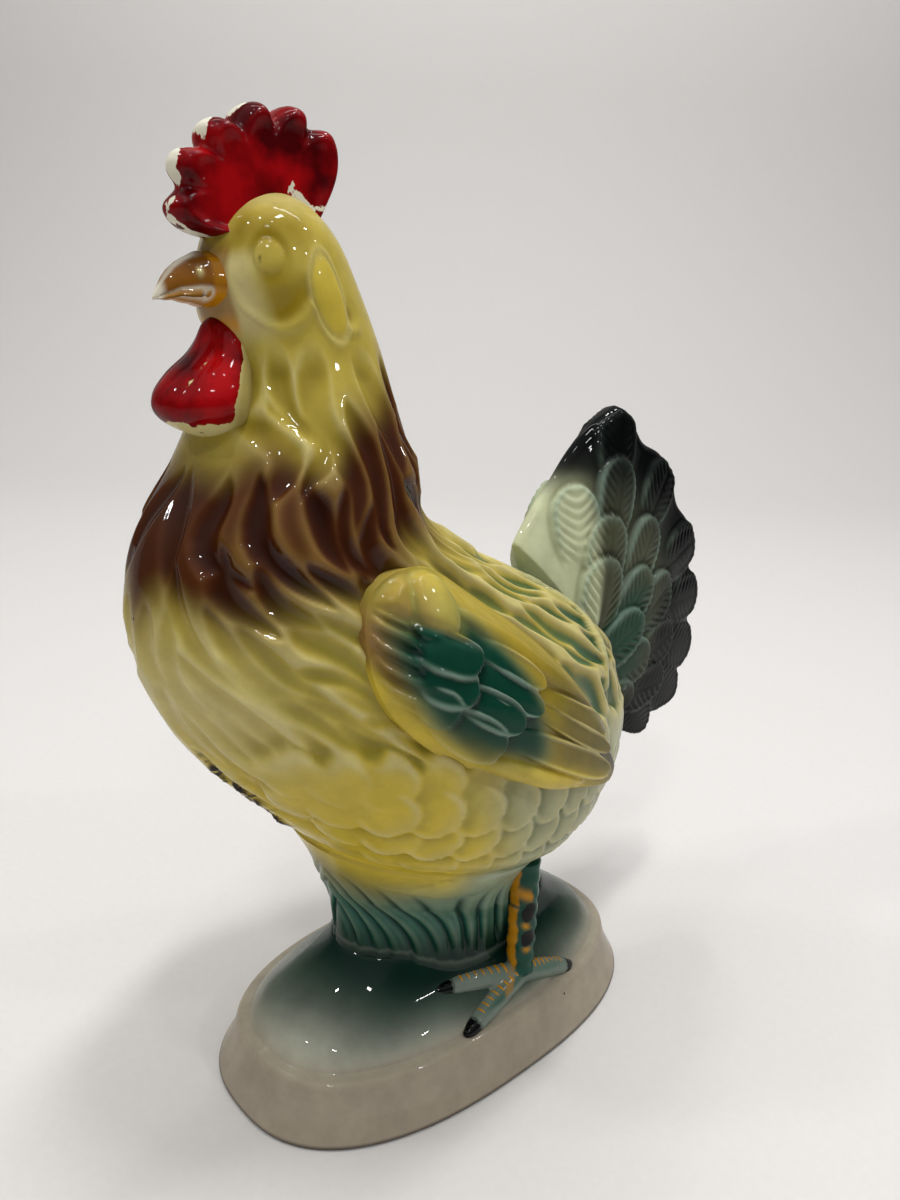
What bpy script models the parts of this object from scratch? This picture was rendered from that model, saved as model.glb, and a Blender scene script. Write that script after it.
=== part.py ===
"""Glazed pottery rooster on an oblong plinth, 230 mm tall, as separate slip castings.

The bird faces -Y, its left side is +X, +Z is up and the origin is on the underside, at the
middle of the plinth. Every casting is luted to its neighbour across a thin slip seam.
"""

import math

import bmesh
import bpy
from mathutils import Vector

MM = 0.001

# Slip seam left between two castings
LUTE_GAP = 0.3 * MM

# Plinth: an oblong band with battered sides and a low mound on top
PLINTH_LENGTH = 129.0 * MM
PLINTH_WIDTH = 76.0 * MM
PLINTH_BAND = 15.0 * MM
PLINTH_BATTER = 6.2 * MM
PLINTH_EDGE = 0.8 * MM
PLINTH_SQUARENESS = 2.5
MOUND_RISE = 11.0 * MM
MOUND_STEEPNESS = 2.6
VENT_RADIUS = 6.0 * MM
VENT_DEPTH = 10.0 * MM
VENT_BEHIND_CENTRE = 20.0 * MM

# Pedestal: the grooved tuft that carries the belly
PEDESTAL_RISE = 24.0 * MM
PEDESTAL_FRONT = 40.0 * MM
PEDESTAL_BACK = 32.5 * MM
PEDESTAL_WIDTH = 51.0 * MM
PEDESTAL_RIBS = 18
PEDESTAL_RIB_HEIGHT = 0.9 * MM
CREASE_SLOPE = 0.295

# Body, neck and head, one flowing form cut at two level seams
BODY_HEIGHT = 100.0 * MM
BREAST_REACH = 83.0 * MM
RUMP_REACH = 63.0 * MM
BODY_WIDTH = 82.0 * MM
EGG_SKEW = 0.18
NECK_HEIGHT = 36.0 * MM
NECK_FRONT = 63.0 * MM
NECK_BACK = 28.0 * MM
NECK_WIDTH = 38.0 * MM
HEAD_HEIGHT = 29.0 * MM
HEAD_FRONT = 65.5 * MM
HEAD_BACK = 32.0 * MM
HEAD_WIDTH = 34.0 * MM

# Wings
WING_LENGTH = 78.0 * MM
WING_DEPTH = 36.7 * MM
WING_THICKNESS = 5.0 * MM
WING_EDGE = 2.4 * MM
WING_FEATHER_LIFT = 3.2 * MM
WING_DROOP = 33.9
WING_FRONT = 50.0 * MM
WING_FRONT_SHARE = 0.82

# Tail fan
TAIL_REACH = 70.0 * MM
TAIL_THICKNESS = 26.0 * MM
TAIL_RIM_THICKNESS = 7.0 * MM
TAIL_SCALLOP = 3.4 * MM
TAIL_FEATHER_LENGTH = 25.0 * MM
TAIL_FEATHER_WIDTH = 18.0 * MM
TAIL_FEATHER_LIFT = 2.8 * MM
TAIL_SINK = 17.0 * MM
TAIL_HEIGHT_SHARE = 0.57

# Comb, beak and wattle
COMB_REACH = 20.0 * MM
COMB_THICKNESS = 11.0 * MM
COMB_SCALLOP = 2.4 * MM
COMB_SINK = 3.0 * MM
COMB_FORWARD = 2.0 * MM
BEAK_LENGTH = 10.0 * MM
BEAK_WIDTH = 14.0 * MM
BEAK_DEPTH = 12.0 * MM
BEAK_SINK = 6.0 * MM
BEAK_HEIGHT_SHARE = 0.36
WATTLE_LENGTH = 25.0 * MM
WATTLE_WIDTH = 26.0 * MM
WATTLE_PROUD = 8.0 * MM
WATTLE_SINK = 9.0 * MM
WATTLE_LEAN = 2.5 * MM
WATTLE_FULLNESS = 0.45

# Face: an eye bead and an ear lobe on each side, at degrees round the head from the beak
EYE_RADIUS = 3.4 * MM
EYE_PROUD = 1.3 * MM
EYE_TURN = 50.0
EYE_HEIGHT_SHARE = 0.55
LOBE_LENGTH = 15.0 * MM
LOBE_WIDTH = 8.0 * MM
LOBE_PROUD = 1.5 * MM
LOBE_TURN = 97.0
LOBE_HEIGHT_SHARE = 0.19
FACE_STEPS = 12

# Legs, half sunk in the pedestal's sides
SHANK_RADIUS = 4.6 * MM
SHANK_BEHIND_CENTRE = 9.0 * MM
SHANK_PROUD = 2.5 * MM
SHANK_LEAN = 1.0 * MM
TOE_RADIUS = 3.0 * MM
CLAW_RADIUS = 0.9 * MM
TOE_LENGTH = 25.0 * MM
HIND_TOE_LENGTH = 19.0 * MM
TOE_SPREAD = 14.0
TOE_PROUD = 1.0 * MM

# Facets
ROUND_STEPS = 48
LEG_STEPS = 12
BEAK_STEPS = 20
WELD_DISTANCE = 0.01 * MM
# Share of a feather's length that keeps its full width before the rounded end
FEATHER_BLUNTNESS = 0.62
# Feather relief is laid out finely, then thinned out to the faces that carry it
RELIEF_ROWS = 26
RELIEF_DEGREES = 1.2
WING_FACES_KEPT = 0.20
TAIL_FACES_KEPT = 0.18

# Heights that follow from the sizes above
MOUND_TOP = PLINTH_BAND + MOUND_RISE
CREASE_HEIGHT = MOUND_TOP + PEDESTAL_RISE
NECK_SEAM = CREASE_HEIGHT + BODY_HEIGHT
HEAD_SEAM = NECK_SEAM + NECK_HEIGHT
CROWN = HEAD_SEAM + HEAD_HEIGHT

# Each row: share of the body's height, of the breast's and the rump's reach, and of the width
BODY_PROFILE = [
    (-0.14, 0.30, 0.46, 0.42),
    (0.00, 0.45, 0.57, 0.58),
    (0.08, 0.46, 0.72, 0.74),
    (0.16, 0.49, 0.87, 0.85),
    (0.30, 0.65, 1.00, 0.95),
    (0.45, 0.82, 1.00, 0.99),
    (0.60, 0.94, 0.83, 1.00),
    (0.75, 1.00, 0.46, 0.93),
    (0.88, 0.99, 0.06, 0.84),
    (1.00, 0.94, -0.24, 0.78),
]
# Each row: share of the neck's height, then how far each side has come from body to neck top
NECK_PROFILE = [(0.33, 0.53, 0.35, 0.23), (0.67, 0.87, 0.77, 0.62), (1.00, 1.00, 1.00, 1.00)]
# Each row: share of the head's height and of its reach to the front, to the back and sideways
HEAD_PROFILE = [
    (0.41, 1.00, 1.03, 0.98),
    (0.68, 0.97, 1.16, 0.84),
    (0.86, 0.91, 1.30, 0.60),
    (0.96, 0.85, 1.43, 0.30),
    (1.00, 0.80, 1.56, 0.06),
]
# Each row: share of the pedestal's height, of its front and back reach and of its width
PEDESTAL_PROFILE = [
    (0.00, 1.08, 1.62, 0.98),
    (0.35, 0.84, 1.24, 0.82),
    (0.70, 0.86, 1.08, 0.87),
    (1.00, 1.00, 1.00, 1.00),
]


def remove_everything():
    for item in list(bpy.data.objects):
        bpy.data.objects.remove(item)


def collection(name):
    group = bpy.data.collections.new(name)
    bpy.context.scene.collection.children.link(group)
    return group


def glaze(name, colour, roughness=0.12):
    finish = bpy.data.materials.new(name)
    finish.use_nodes = True
    shader = finish.node_tree.nodes["Principled BSDF"]
    shader.inputs["Base Color"].default_value = (*colour, 1.0)
    shader.inputs["Roughness"].default_value = roughness
    shader.inputs["Metallic"].default_value = 0.0
    return finish


def add_object(name, mesh_builder, group, finish=None):
    """Turn a bmesh into a named object, with its faces pointing outwards."""
    bmesh.ops.recalc_face_normals(mesh_builder, faces=mesh_builder.faces)
    mesh = bpy.data.meshes.new(name)
    mesh_builder.to_mesh(mesh)
    mesh_builder.free()
    mesh.shade_smooth()
    mesh.set_sharp_from_angle(angle=math.radians(50))
    item = bpy.data.objects.new(name, mesh)
    group.objects.link(item)
    if finish:
        mesh.materials.append(finish)
    return item


def add_cutter(name, mesh_builder, group):
    item = add_object(name, mesh_builder, group)
    item.hide_render = True
    item.display_type = 'WIRE'
    return item


def thin_out(item, share):
    """Keep this share of the faces, most of them where the relief bends."""
    step = item.modifiers.new("Thin out faces", 'DECIMATE')
    step.ratio = share


def cut(item, *cutters):
    for cutter in cutters:
        step = item.modifiers.new("Cut by " + cutter.name, 'BOOLEAN')
        step.operation = 'DIFFERENCE'
        step.object = cutter


def loft(rings, pole=None):
    """A closed solid through rings of points, flat at its ends or drawn to a pole at the last."""
    solid = bmesh.new()
    rows = [[solid.verts.new(point) for point in ring] for ring in rings]
    steps = len(rows[0])
    for lower, upper in zip(rows, rows[1:]):
        for i in range(steps):
            j = (i + 1) % steps
            solid.faces.new((lower[i], lower[j], upper[j], upper[i]))
    solid.faces.new(reversed(rows[0]))
    if pole is None:
        solid.faces.new(rows[-1])
    else:
        tip = solid.verts.new(pole)
        for i in range(steps):
            solid.faces.new((rows[-1][i], rows[-1][(i + 1) % steps], tip))
    return solid


def pillow(outline, centre, near, far):
    """A cushion-like solid over an outline: rings drawn in towards a centre, each at its own height.

    The near and the far side each hold (share of the way out, height) from the rim inwards.
    """
    solid = bmesh.new()
    rim = [solid.verts.new(place_on(outline, centre, i, *near[0])) for i in range(len(outline))]
    for side in (near, far):
        previous = rim
        for share, height in side[1:-1]:
            ring = [solid.verts.new(place_on(outline, centre, i, share, height)) for i in range(len(outline))]
            for i in range(len(outline)):
                j = (i + 1) % len(outline)
                solid.faces.new((previous[i], previous[j], ring[j], ring[i]))
            previous = ring
        tip = solid.verts.new(place_on(outline, centre, 0, *side[-1]))
        for i in range(len(outline)):
            solid.faces.new((previous[i], previous[(i + 1) % len(outline)], tip))
    return solid


def place_on(outline, centre, i, share, height):
    """The point at a share of the way from the centre to outline point i, lifted along X."""
    y = centre[0] + share * (outline[i][0] - centre[0])
    z = centre[1] + share * (outline[i][1] - centre[1])
    x = height(y, z) if callable(height) else height
    return Vector((x, y, z))


def grown(mesh_builder, distance=LUTE_GAP):
    """Move every point outwards, so that the solid cuts a seat with a seam's clearance."""
    bmesh.ops.recalc_face_normals(mesh_builder, faces=mesh_builder.faces)
    mesh_builder.normal_update()
    moves = [(point, point.normal.copy()) for point in mesh_builder.verts]
    for point, normal in moves:
        point.co += normal * distance
    return mesh_builder


def smooth_through(rows, at):
    """Read the columns of a table at a value of its first column, along a smooth curve."""
    last = len(rows) - 1
    k = 0
    while k < last - 1 and at > rows[k + 1][0]:
        k += 1
    width = rows[k + 1][0] - rows[k][0]
    t = (at - rows[k][0]) / width
    values = []
    for column in range(1, len(rows[0])):
        slopes = []
        for m in (k, k + 1):
            a = max(m - 1, 0)
            b = min(m + 1, last)
            slopes.append((rows[b][column] - rows[a][column]) / (rows[b][0] - rows[a][0]) * width)
        p, q = rows[k][column], rows[k + 1][column]
        blend = t * t * (3 - 2 * t)
        values.append(p + (q - p) * blend + slopes[0] * t * (1 - t) ** 2 - slopes[1] * t * t * (1 - t))
    return values


def trunk_table():
    """Height, front, back and half width down the whole bird, from belly to crown."""
    table = []
    for height, front, back, width in BODY_PROFILE:
        z = CREASE_HEIGHT + height * BODY_HEIGHT
        table.append((z, -front * BREAST_REACH, back * RUMP_REACH, width * BODY_WIDTH / 2))
    base = table[-1]
    top = (-NECK_FRONT, -NECK_BACK, NECK_WIDTH / 2)
    for height, *shares in NECK_PROFILE:
        sides = [base[n + 1] + share * (top[n] - base[n + 1]) for n, share in enumerate(shares)]
        table.append((NECK_SEAM + height * NECK_HEIGHT, *sides))
    for height, front, back, width in HEAD_PROFILE:
        z = HEAD_SEAM + height * HEAD_HEIGHT
        table.append((z, -front * HEAD_FRONT, -back * HEAD_BACK, width * HEAD_WIDTH / 2))
    return table


TRUNK = trunk_table()


def egg_skew(z):
    """How much narrower the rear is than the front: all of it on the body, none on the neck."""
    return EGG_SKEW * min(max((NECK_SEAM - z) / (0.6 * BODY_HEIGHT), 0.0), 1.0)


def trunk_point(angle, z):
    front, back, half_width = smooth_through(TRUNK, z)
    along = math.sin(angle)
    x = half_width * math.cos(angle) * (1 - egg_skew(z) * along)
    return Vector((x, (front + back) / 2 + (back - front) / 2 * along, z))


def trunk_side(y, z):
    """Half the bird's width at a place in its side view."""
    front, back, half_width = smooth_through(TRUNK, z)
    along = (2 * y - front - back) / (back - front)
    along = min(max(along, -1.0), 1.0)
    return half_width * math.sqrt(1 - along * along) * (1 - egg_skew(z) * along)


def crease(y):
    """The sloping seam between the pedestal and the belly."""
    return CREASE_HEIGHT - CREASE_SLOPE * y


def belly_foot(angle):
    """The height at which the belly meets the sloping seam, at an angle round the bird."""
    z = CREASE_HEIGHT
    for _ in range(30):
        z = crease(trunk_point(angle, z).y) + LUTE_GAP / 2
    return z


def turn(steps):
    return [2 * math.pi * i / steps for i in range(steps)]


def make_crease_clearance(group):
    """Everything above the sloping seam: what stands under the belly ends against it."""
    rings = []
    for lift in (-LUTE_GAP / 2, BODY_HEIGHT):
        corners = ((-1, -1), (1, -1), (1, 1), (-1, 1))
        ring = []
        for x, y in corners:
            y *= PLINTH_LENGTH
            ring.append(Vector((x * PLINTH_WIDTH, y, crease(y) + lift)))
        rings.append(ring)
    return add_cutter("crease_clearance", loft(rings), group)


def body_rings(shares, top):
    rings = []
    for share in shares:
        ring = []
        for angle in turn(ROUND_STEPS):
            foot = belly_foot(angle)
            ring.append(trunk_point(angle, foot + share * (top - foot)))
        rings.append(ring)
    return rings


def level_rings(bottom, top, shares):
    heights = [bottom + share * (top - bottom) for share in shares]
    return [[trunk_point(angle, z) for angle in turn(ROUND_STEPS)] for z in heights]


def even(count):
    return [k / count for k in range(count + 1)]


BODY_ROWS = even(13)
NECK_ROWS = even(5)
HEAD_ROWS = [0.0, 0.2, 0.4, 0.58, 0.73, 0.85, 0.93, 0.98]


def crown_point():
    front, back, _ = smooth_through(TRUNK, CROWN)
    return Vector((0.0, (front + back) / 2, CROWN))


def make_body(group, finish):
    solid = loft(body_rings(BODY_ROWS, NECK_SEAM - LUTE_GAP / 2))
    return add_object("body", solid, group, finish)


def make_neck(group, finish):
    rings = level_rings(NECK_SEAM + LUTE_GAP / 2, HEAD_SEAM - LUTE_GAP / 2, NECK_ROWS)
    return add_object("neck", loft(rings), group, finish)


def add_bead(head, name, place, sizes, group):
    """Join an egg-shaped bead to the head: the sizes are its half width, depth and height."""
    bead = bmesh.new()
    bmesh.ops.create_uvsphere(bead, u_segments=FACE_STEPS, v_segments=FACE_STEPS // 2, radius=1.0)
    bmesh.ops.scale(bead, verts=bead.verts, vec=sizes)
    bmesh.ops.translate(bead, verts=bead.verts, vec=place)
    join = head.modifiers.new("Join " + name, 'BOOLEAN')
    join.operation = 'UNION'
    join.object = add_cutter(name, bead, group)


def make_head(group, cutters, finish):
    rings = level_rings(HEAD_SEAM + LUTE_GAP / 2, CROWN, HEAD_ROWS)
    head = add_object("head", loft(rings, crown_point()), group, finish)
    eye_z = HEAD_SEAM + EYE_HEIGHT_SHARE * HEAD_HEIGHT
    lobe_z = HEAD_SEAM + LOBE_HEIGHT_SHARE * HEAD_HEIGHT + LOBE_LENGTH / 4
    for side in (1, -1):
        eye = trunk_point(math.radians(-90 + side * EYE_TURN), eye_z)
        eye.x -= side * (EYE_RADIUS - EYE_PROUD)
        add_bead(head, f"eye_{side}", eye, (EYE_RADIUS, EYE_RADIUS, EYE_RADIUS), cutters)
        lobe = trunk_point(math.radians(-90 + side * LOBE_TURN), lobe_z)
        lobe.x -= side * LOBE_PROUD
        add_bead(head, f"ear_lobe_{side}", lobe, (2 * LOBE_PROUD, LOBE_WIDTH / 2, LOBE_LENGTH / 2), cutters)
    return head


def make_trunk_clearance(group):
    rings = body_rings(BODY_ROWS, NECK_SEAM)
    rings += level_rings(NECK_SEAM, HEAD_SEAM, NECK_ROWS)[1:]
    rings += level_rings(HEAD_SEAM, CROWN, HEAD_ROWS)[1:]
    return add_cutter("trunk_clearance", grown(loft(rings, crown_point())), group)


def plinth_outline(inset, share=1.0):
    """A rounded oblong, drawn in from the plinth's foot and then towards its middle."""
    points = []
    for angle in turn(ROUND_STEPS):
        c, s = math.cos(angle), math.sin(angle)
        x = math.copysign(abs(c) ** (2 / PLINTH_SQUARENESS), c) * (PLINTH_WIDTH / 2 - inset)
        y = math.copysign(abs(s) ** (2 / PLINTH_SQUARENESS), s) * (PLINTH_LENGTH / 2 - inset)
        points.append((share * x, share * y))
    return points


def mound_height(share):
    """Height of the mound where its outline is this share of the shoulder's."""
    return PLINTH_BAND + MOUND_RISE * (1 - share ** MOUND_STEEPNESS)


def plinth_solid():
    levels = [(PLINTH_EDGE, 0.0), (0.0, PLINTH_EDGE), (0.85 * PLINTH_BATTER, 0.88 * PLINTH_BAND)]
    rings = [[Vector((x, y, z)) for x, y in plinth_outline(inset)] for inset, z in levels]
    for share in (1.0, 0.975, 0.94, 0.88, 0.78, 0.64, 0.3):
        outline = plinth_outline(1.25 * PLINTH_BATTER, share)
        rings.append([Vector((x, y, mound_height(share))) for x, y in outline])
    return loft(rings)


def make_plinth(group, cutters, finish):
    plinth = add_object("plinth", plinth_solid(), group, finish)
    vent = bmesh.new()
    bmesh.ops.create_cone(vent, cap_ends=True, segments=24, radius1=VENT_RADIUS, radius2=VENT_RADIUS,
                          depth=2 * VENT_DEPTH)
    bmesh.ops.translate(vent, verts=vent.verts, vec=(0.0, VENT_BEHIND_CENTRE, 0.0))
    cut(plinth, add_cutter("vent_hole", vent, cutters))
    return plinth


def pedestal_point(angle, share, ribbed=True):
    """A place on the tuft: its height runs from inside the mound up to the sloping seam."""
    front, back, width = smooth_through(PEDESTAL_PROFILE, share)
    front, back, half_width = front * PEDESTAL_FRONT, back * PEDESTAL_BACK, width * PEDESTAL_WIDTH / 2
    along = math.sin(angle)
    rib = PEDESTAL_RIB_HEIGHT * math.cos(PEDESTAL_RIBS * angle) if ribbed else 0.0
    y = (back - front) / 2 + ((back + front) / 2 + rib) * along
    x = (half_width + rib) * math.cos(angle)
    top = crease(y) - LUTE_GAP / 2
    return Vector((x, y, PLINTH_BAND + share * (top - PLINTH_BAND)))


def pedestal_solid():
    angles = turn(4 * PEDESTAL_RIBS)
    return loft([[pedestal_point(angle, share) for angle in angles] for share in even(7)])


def make_pedestal(group, finish, plinth_clearance):
    pedestal = add_object("pedestal", pedestal_solid(), group, finish)
    cut(pedestal, plinth_clearance)
    return pedestal


# Wing outline: shares of its length behind its front and of its depth above its drooping axis
WING_OUTLINE = [
    (0.00, 0.06), (0.06, 0.34), (0.19, 0.60), (0.37, 0.62), (0.59, 0.59), (0.79, 0.45), (0.97, 0.27),
    (0.99, -0.04), (0.72, -0.27), (0.54, -0.34), (0.32, -0.38), (0.15, -0.29), (0.05, -0.13),
]

# Wing feathers in the outline's shares: root, tip, half width as a share of the depth, share of the lift
WING_FEATHERS = [
    ((0.49, 0.18), (0.90, 0.24), 0.08, 0.50), ((0.46, 0.03), (0.88, 0.09), 0.08, 0.50),
    ((0.34, -0.16), (0.86, -0.07), 0.10, 0.50), ((0.13, -0.20), (0.33, -0.28), 0.14, 0.60),
    ((0.24, 0.16), (0.48, 0.10), 0.10, 0.65), ((0.21, 0.01), (0.39, -0.02), 0.12, 0.75),
    ((0.26, 0.29), (0.52, 0.28), 0.09, 0.70), ((0.06, -0.12), (0.18, -0.22), 0.12, 0.80),
    ((0.06, -0.02), (0.24, -0.03), 0.13, 0.90), ((0.08, 0.13), (0.27, 0.14), 0.13, 1.00),
]

# Rounded forms on the wing: the two shoulder lobes, and the ridges along its upper and lower edges
WING_SHOULDERS = [((0.09, 0.30), 0.21), ((0.20, 0.37), 0.18)]
WING_RIDGES = [
    [(0.02, -0.09), (0.14, -0.31), (0.42, -0.33), (0.72, -0.22), (0.95, -0.08)],
    [(0.24, 0.46), (0.44, 0.48), (0.62, 0.44), (0.88, 0.34)],
]
WING_RIDGE_WIDTH = 0.16
WING_RIDGE_SHARE = 0.6
WING_SHOULDER_SHARE = 1.0
# Share of the way from the wing's middle to its edge that carries the relief
WING_RELIEF_SHARE = 0.92


def feather_rise(y, z, feathers):
    """How far overlapping feathers stand above the plain surface, at a place in the side view."""
    rise = 0.0
    for root, tip, half_width, lift in feathers:
        run_y, run_z = tip[0] - root[0], tip[1] - root[1]
        length = math.hypot(run_y, run_z)
        along = ((y - root[0]) * run_y + (z - root[1]) * run_z) / length ** 2
        across = abs((y - root[0]) * run_z - (z - root[1]) * run_y) / length
        if 0.0 < along < 1.0:
            end = max((along - FEATHER_BLUNTNESS) / (1 - FEATHER_BLUNTNESS), 0.0)
            width = half_width * math.sqrt(1 - end * end)
            rise = max(rise, lift * along * (1 - min(across / width, 1.0) ** 6))
    return rise


def ridge_rise(y, z, line, half_width):
    """Height share of a rounded ridge along a line of points, 1 on the line itself."""
    nearest = half_width
    for (y0, z0), (y1, z1) in zip(line, line[1:]):
        run_y, run_z = y1 - y0, z1 - z0
        along = ((y - y0) * run_y + (z - z0) * run_z) / (run_y ** 2 + run_z ** 2)
        along = min(max(along, 0.0), 1.0)
        nearest = min(nearest, math.hypot(y - y0 - along * run_y, z - z0 - along * run_z))
    return math.sqrt(1 - (nearest / half_width) ** 2)


def closed_curve(points, per_span):
    """A smooth closed curve through the points."""
    count = len(points)
    curve = []
    for k in range(count):
        a, b, c, d = (points[(k + n) % count] for n in (-1, 0, 1, 2))
        for step in range(per_span):
            t = step / per_span
            curve.append(tuple(
                0.5 * (2 * b[n] + (c[n] - a[n]) * t + (2 * a[n] - 5 * b[n] + 4 * c[n] - d[n]) * t * t
                       + (3 * b[n] - a[n] - 3 * c[n] + d[n]) * t ** 3)
                for n in (0, 1)))
    return curve


def wing_place(along, across):
    """A place in the bird's side view, from shares on the wing that droops from shoulder to tip."""
    behind = along * WING_LENGTH
    front_z = CREASE_HEIGHT + WING_FRONT_SHARE * BODY_HEIGHT
    fall = math.tan(math.radians(WING_DROOP))
    return behind - WING_FRONT, front_z - fall * behind + across * WING_DEPTH


def wing_relief():
    """A function of a place in the side view: how far the wing's feathers and ridges stand out there."""
    feathers = []
    for root, tip, half_width, lift in WING_FEATHERS:
        sizes = (half_width * WING_DEPTH, lift * WING_FEATHER_LIFT)
        feathers.append((wing_place(*root), wing_place(*tip), *sizes))
    ridges = [[wing_place(*place) for place in line] for line in WING_RIDGES]
    shoulders = [(wing_place(*place), radius * WING_DEPTH) for place, radius in WING_SHOULDERS]

    def relief(y, z):
        rise = feather_rise(y, z, feathers)
        for line in ridges:
            ridge = ridge_rise(y, z, line, WING_RIDGE_WIDTH * WING_DEPTH / 2)
            rise = max(rise, WING_RIDGE_SHARE * WING_FEATHER_LIFT * ridge)
        for (centre_y, centre_z), radius in shoulders:
            share = min(math.hypot(y - centre_y, z - centre_z) / radius, 1.0)
            rise = max(rise, WING_SHOULDER_SHARE * WING_FEATHER_LIFT * math.sqrt(1 - share * share))
        return rise

    return relief


def make_wing(side, group, finish, trunk_clearance):
    outline = [wing_place(*place) for place in closed_curve(WING_OUTLINE, 9)]
    count = len(outline)
    centre = (sum(p[0] for p in outline) / count, sum(p[1] for p in outline) / count)
    relief = wing_relief()

    def standing(rise):
        return lambda y, z: side * (trunk_side(y, z) + rise)

    def feathered(y, z):
        return side * (trunk_side(y, z) + WING_THICKNESS + relief(y, z))

    outer = [(1.0, standing(WING_EDGE)), (0.95, standing(WING_THICKNESS))]
    outer += [(WING_RELIEF_SHARE * (1 - share), feathered) for share in even(RELIEF_ROWS)]
    sunk = -WING_EDGE
    inner = [(1.0, standing(sunk)), (1.0, standing(sunk)), (0.5, standing(sunk)), (0.0, standing(sunk))]
    name = "wing_left" if side > 0 else "wing_right"
    wing = add_object(name, pillow(outline, centre, outer, inner), group, finish)
    thin_out(wing, WING_FACES_KEPT)
    cut(wing, trunk_clearance)
    return wing


# Rim feathers of the tail fan: degrees above level behind its root, and the share of its reach there
TAIL_RIM = [(-62, 0.62), (-47, 0.88), (-31, 1.00), (-16, 0.99), (1, 0.96), (19, 0.93), (47, 0.90), (75, 0.95)]

# Plain front edge of the fan, from its top feather down to the rump
TAIL_FRONT = [(75, 0.95), (84, 0.84), (92, 0.74), (100, 0.65), (114, 0.56), (128, 0.50)]

# Feathers on the fan's faces: degrees and share of the reach of the tip, and the share of the lift
TAIL_FEATHERS = [
    (74, 0.74, 0.55), (45, 0.62, 0.55), (14, 0.62, 0.50), (-9, 0.68, 0.50), (-28, 0.72, 0.50),
    (78, 0.50, 0.75), (31, 0.44, 0.75), (-20, 0.46, 0.70), (-46, 0.52, 0.60),
    (80, 0.33, 0.95), (6, 0.32, 0.95), (102, 0.62, 1.00),
]
TAIL_RIM_LIFT = 0.35
# Feather headings turn upwards from the fan's radius by this share of the way to the upright
TAIL_UPTURN = 0.3
TAIL_UPRIGHT = 80.0
TAIL_ROOT_SHARE = 0.36
# The fan thickens from this share of its reach to its root, as a power of the share
TAIL_RIM_SHARE = 0.94
TAIL_SWELL = 1.6


def tail_root():
    return RUMP_REACH - TAIL_SINK, CREASE_HEIGHT + TAIL_HEIGHT_SHARE * BODY_HEIGHT


def around(centre, degrees, reach):
    """The place at an angle and a distance from a centre, in the side view."""
    angle = math.radians(degrees)
    return centre[0] + reach * math.cos(angle), centre[1] + reach * math.sin(angle)


def tail_outline():
    """Scalloped rim of feather ends, a plain front edge and an arc round the root."""
    polar = []
    for (low, near), (high, far) in zip(TAIL_RIM, TAIL_RIM[1:]):
        steps = round((high - low) / RELIEF_DEGREES)
        for k in range(steps):
            t = k / steps
            notch = TAIL_SCALLOP * math.sin(math.pi * t) ** 3
            polar.append((low + (high - low) * t, (near + (far - near) * t) * TAIL_REACH - notch))
    first, last = TAIL_RIM[0][0], TAIL_FRONT[-1][0]
    for share in even(RELIEF_ROWS):
        degrees = TAIL_FRONT[0][0] + share * (last - TAIL_FRONT[0][0])
        polar.append((degrees, smooth_through(TAIL_FRONT, degrees)[0] * TAIL_REACH))
    for share in even(12)[1:-1]:
        polar.append((last + share * (360 + first - last), TAIL_ROOT_SHARE * TAIL_REACH))
    return [around(tail_root(), degrees, reach) for degrees, reach in polar]


def tail_feathers():
    """Root, tip, half width and lift of the fan's feathers in the side view, rim feathers first."""
    root = tail_root()
    tips = [(degrees, share, TAIL_RIM_LIFT, degrees) for degrees, share in TAIL_RIM[1:]]
    for degrees, share, lift in TAIL_FEATHERS:
        tips.append((degrees, share, lift, degrees + TAIL_UPTURN * (TAIL_UPRIGHT - degrees)))
    feathers = []
    for degrees, share, lift, heading in tips:
        tip = around(root, degrees, share * TAIL_REACH)
        start = around(tip, heading + 180, TAIL_FEATHER_LENGTH)
        feathers.append((start, tip, TAIL_FEATHER_WIDTH / 2, lift * TAIL_FEATHER_LIFT))
    return feathers


def make_tail(group, finish, trunk_clearance):
    rim, root = TAIL_RIM_THICKNESS / 2, TAIL_THICKNESS / 2
    feathers = tail_feathers()
    shares = [TAIL_RIM_SHARE * (1 - share) for share in even(RELIEF_ROWS)]

    def feathered(side, plain):
        return lambda y, z: side * (plain + feather_rise(y, z, feathers))

    faces = []
    for side in (1, -1):
        face = [(1.0, 0.0), (0.985, side * 0.75 * rim)]
        for share in shares:
            swell = 1 - (share / TAIL_RIM_SHARE) ** TAIL_SWELL
            face.append((share, feathered(side, rim + swell * (root - rim))))
        faces.append(face)
    tail = add_object("tail", pillow(tail_outline(), tail_root(), *faces), group, finish)
    thin_out(tail, TAIL_FACES_KEPT)
    cut(tail, trunk_clearance)
    return tail


# Comb: degrees above level behind its middle, and the share of its reach there
COMB_FAN = [(-30, 0.55), (4, 0.72), (34, 1.06), (50, 1.10), (70, 0.97), (97, 0.87), (132, 0.83), (160, 0.90),
            (192, 0.97), (215, 0.70)]
# Degrees of the lobes' tips
COMB_TIPS = [40, 67, 94, 128, 160, 192]
COMB_ROOT_SHARE = 0.5


def comb_middle():
    front, back, _ = smooth_through(TRUNK, CROWN - COMB_SINK)
    return (front + back) / 2 - COMB_FORWARD, CROWN - COMB_SINK


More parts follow.
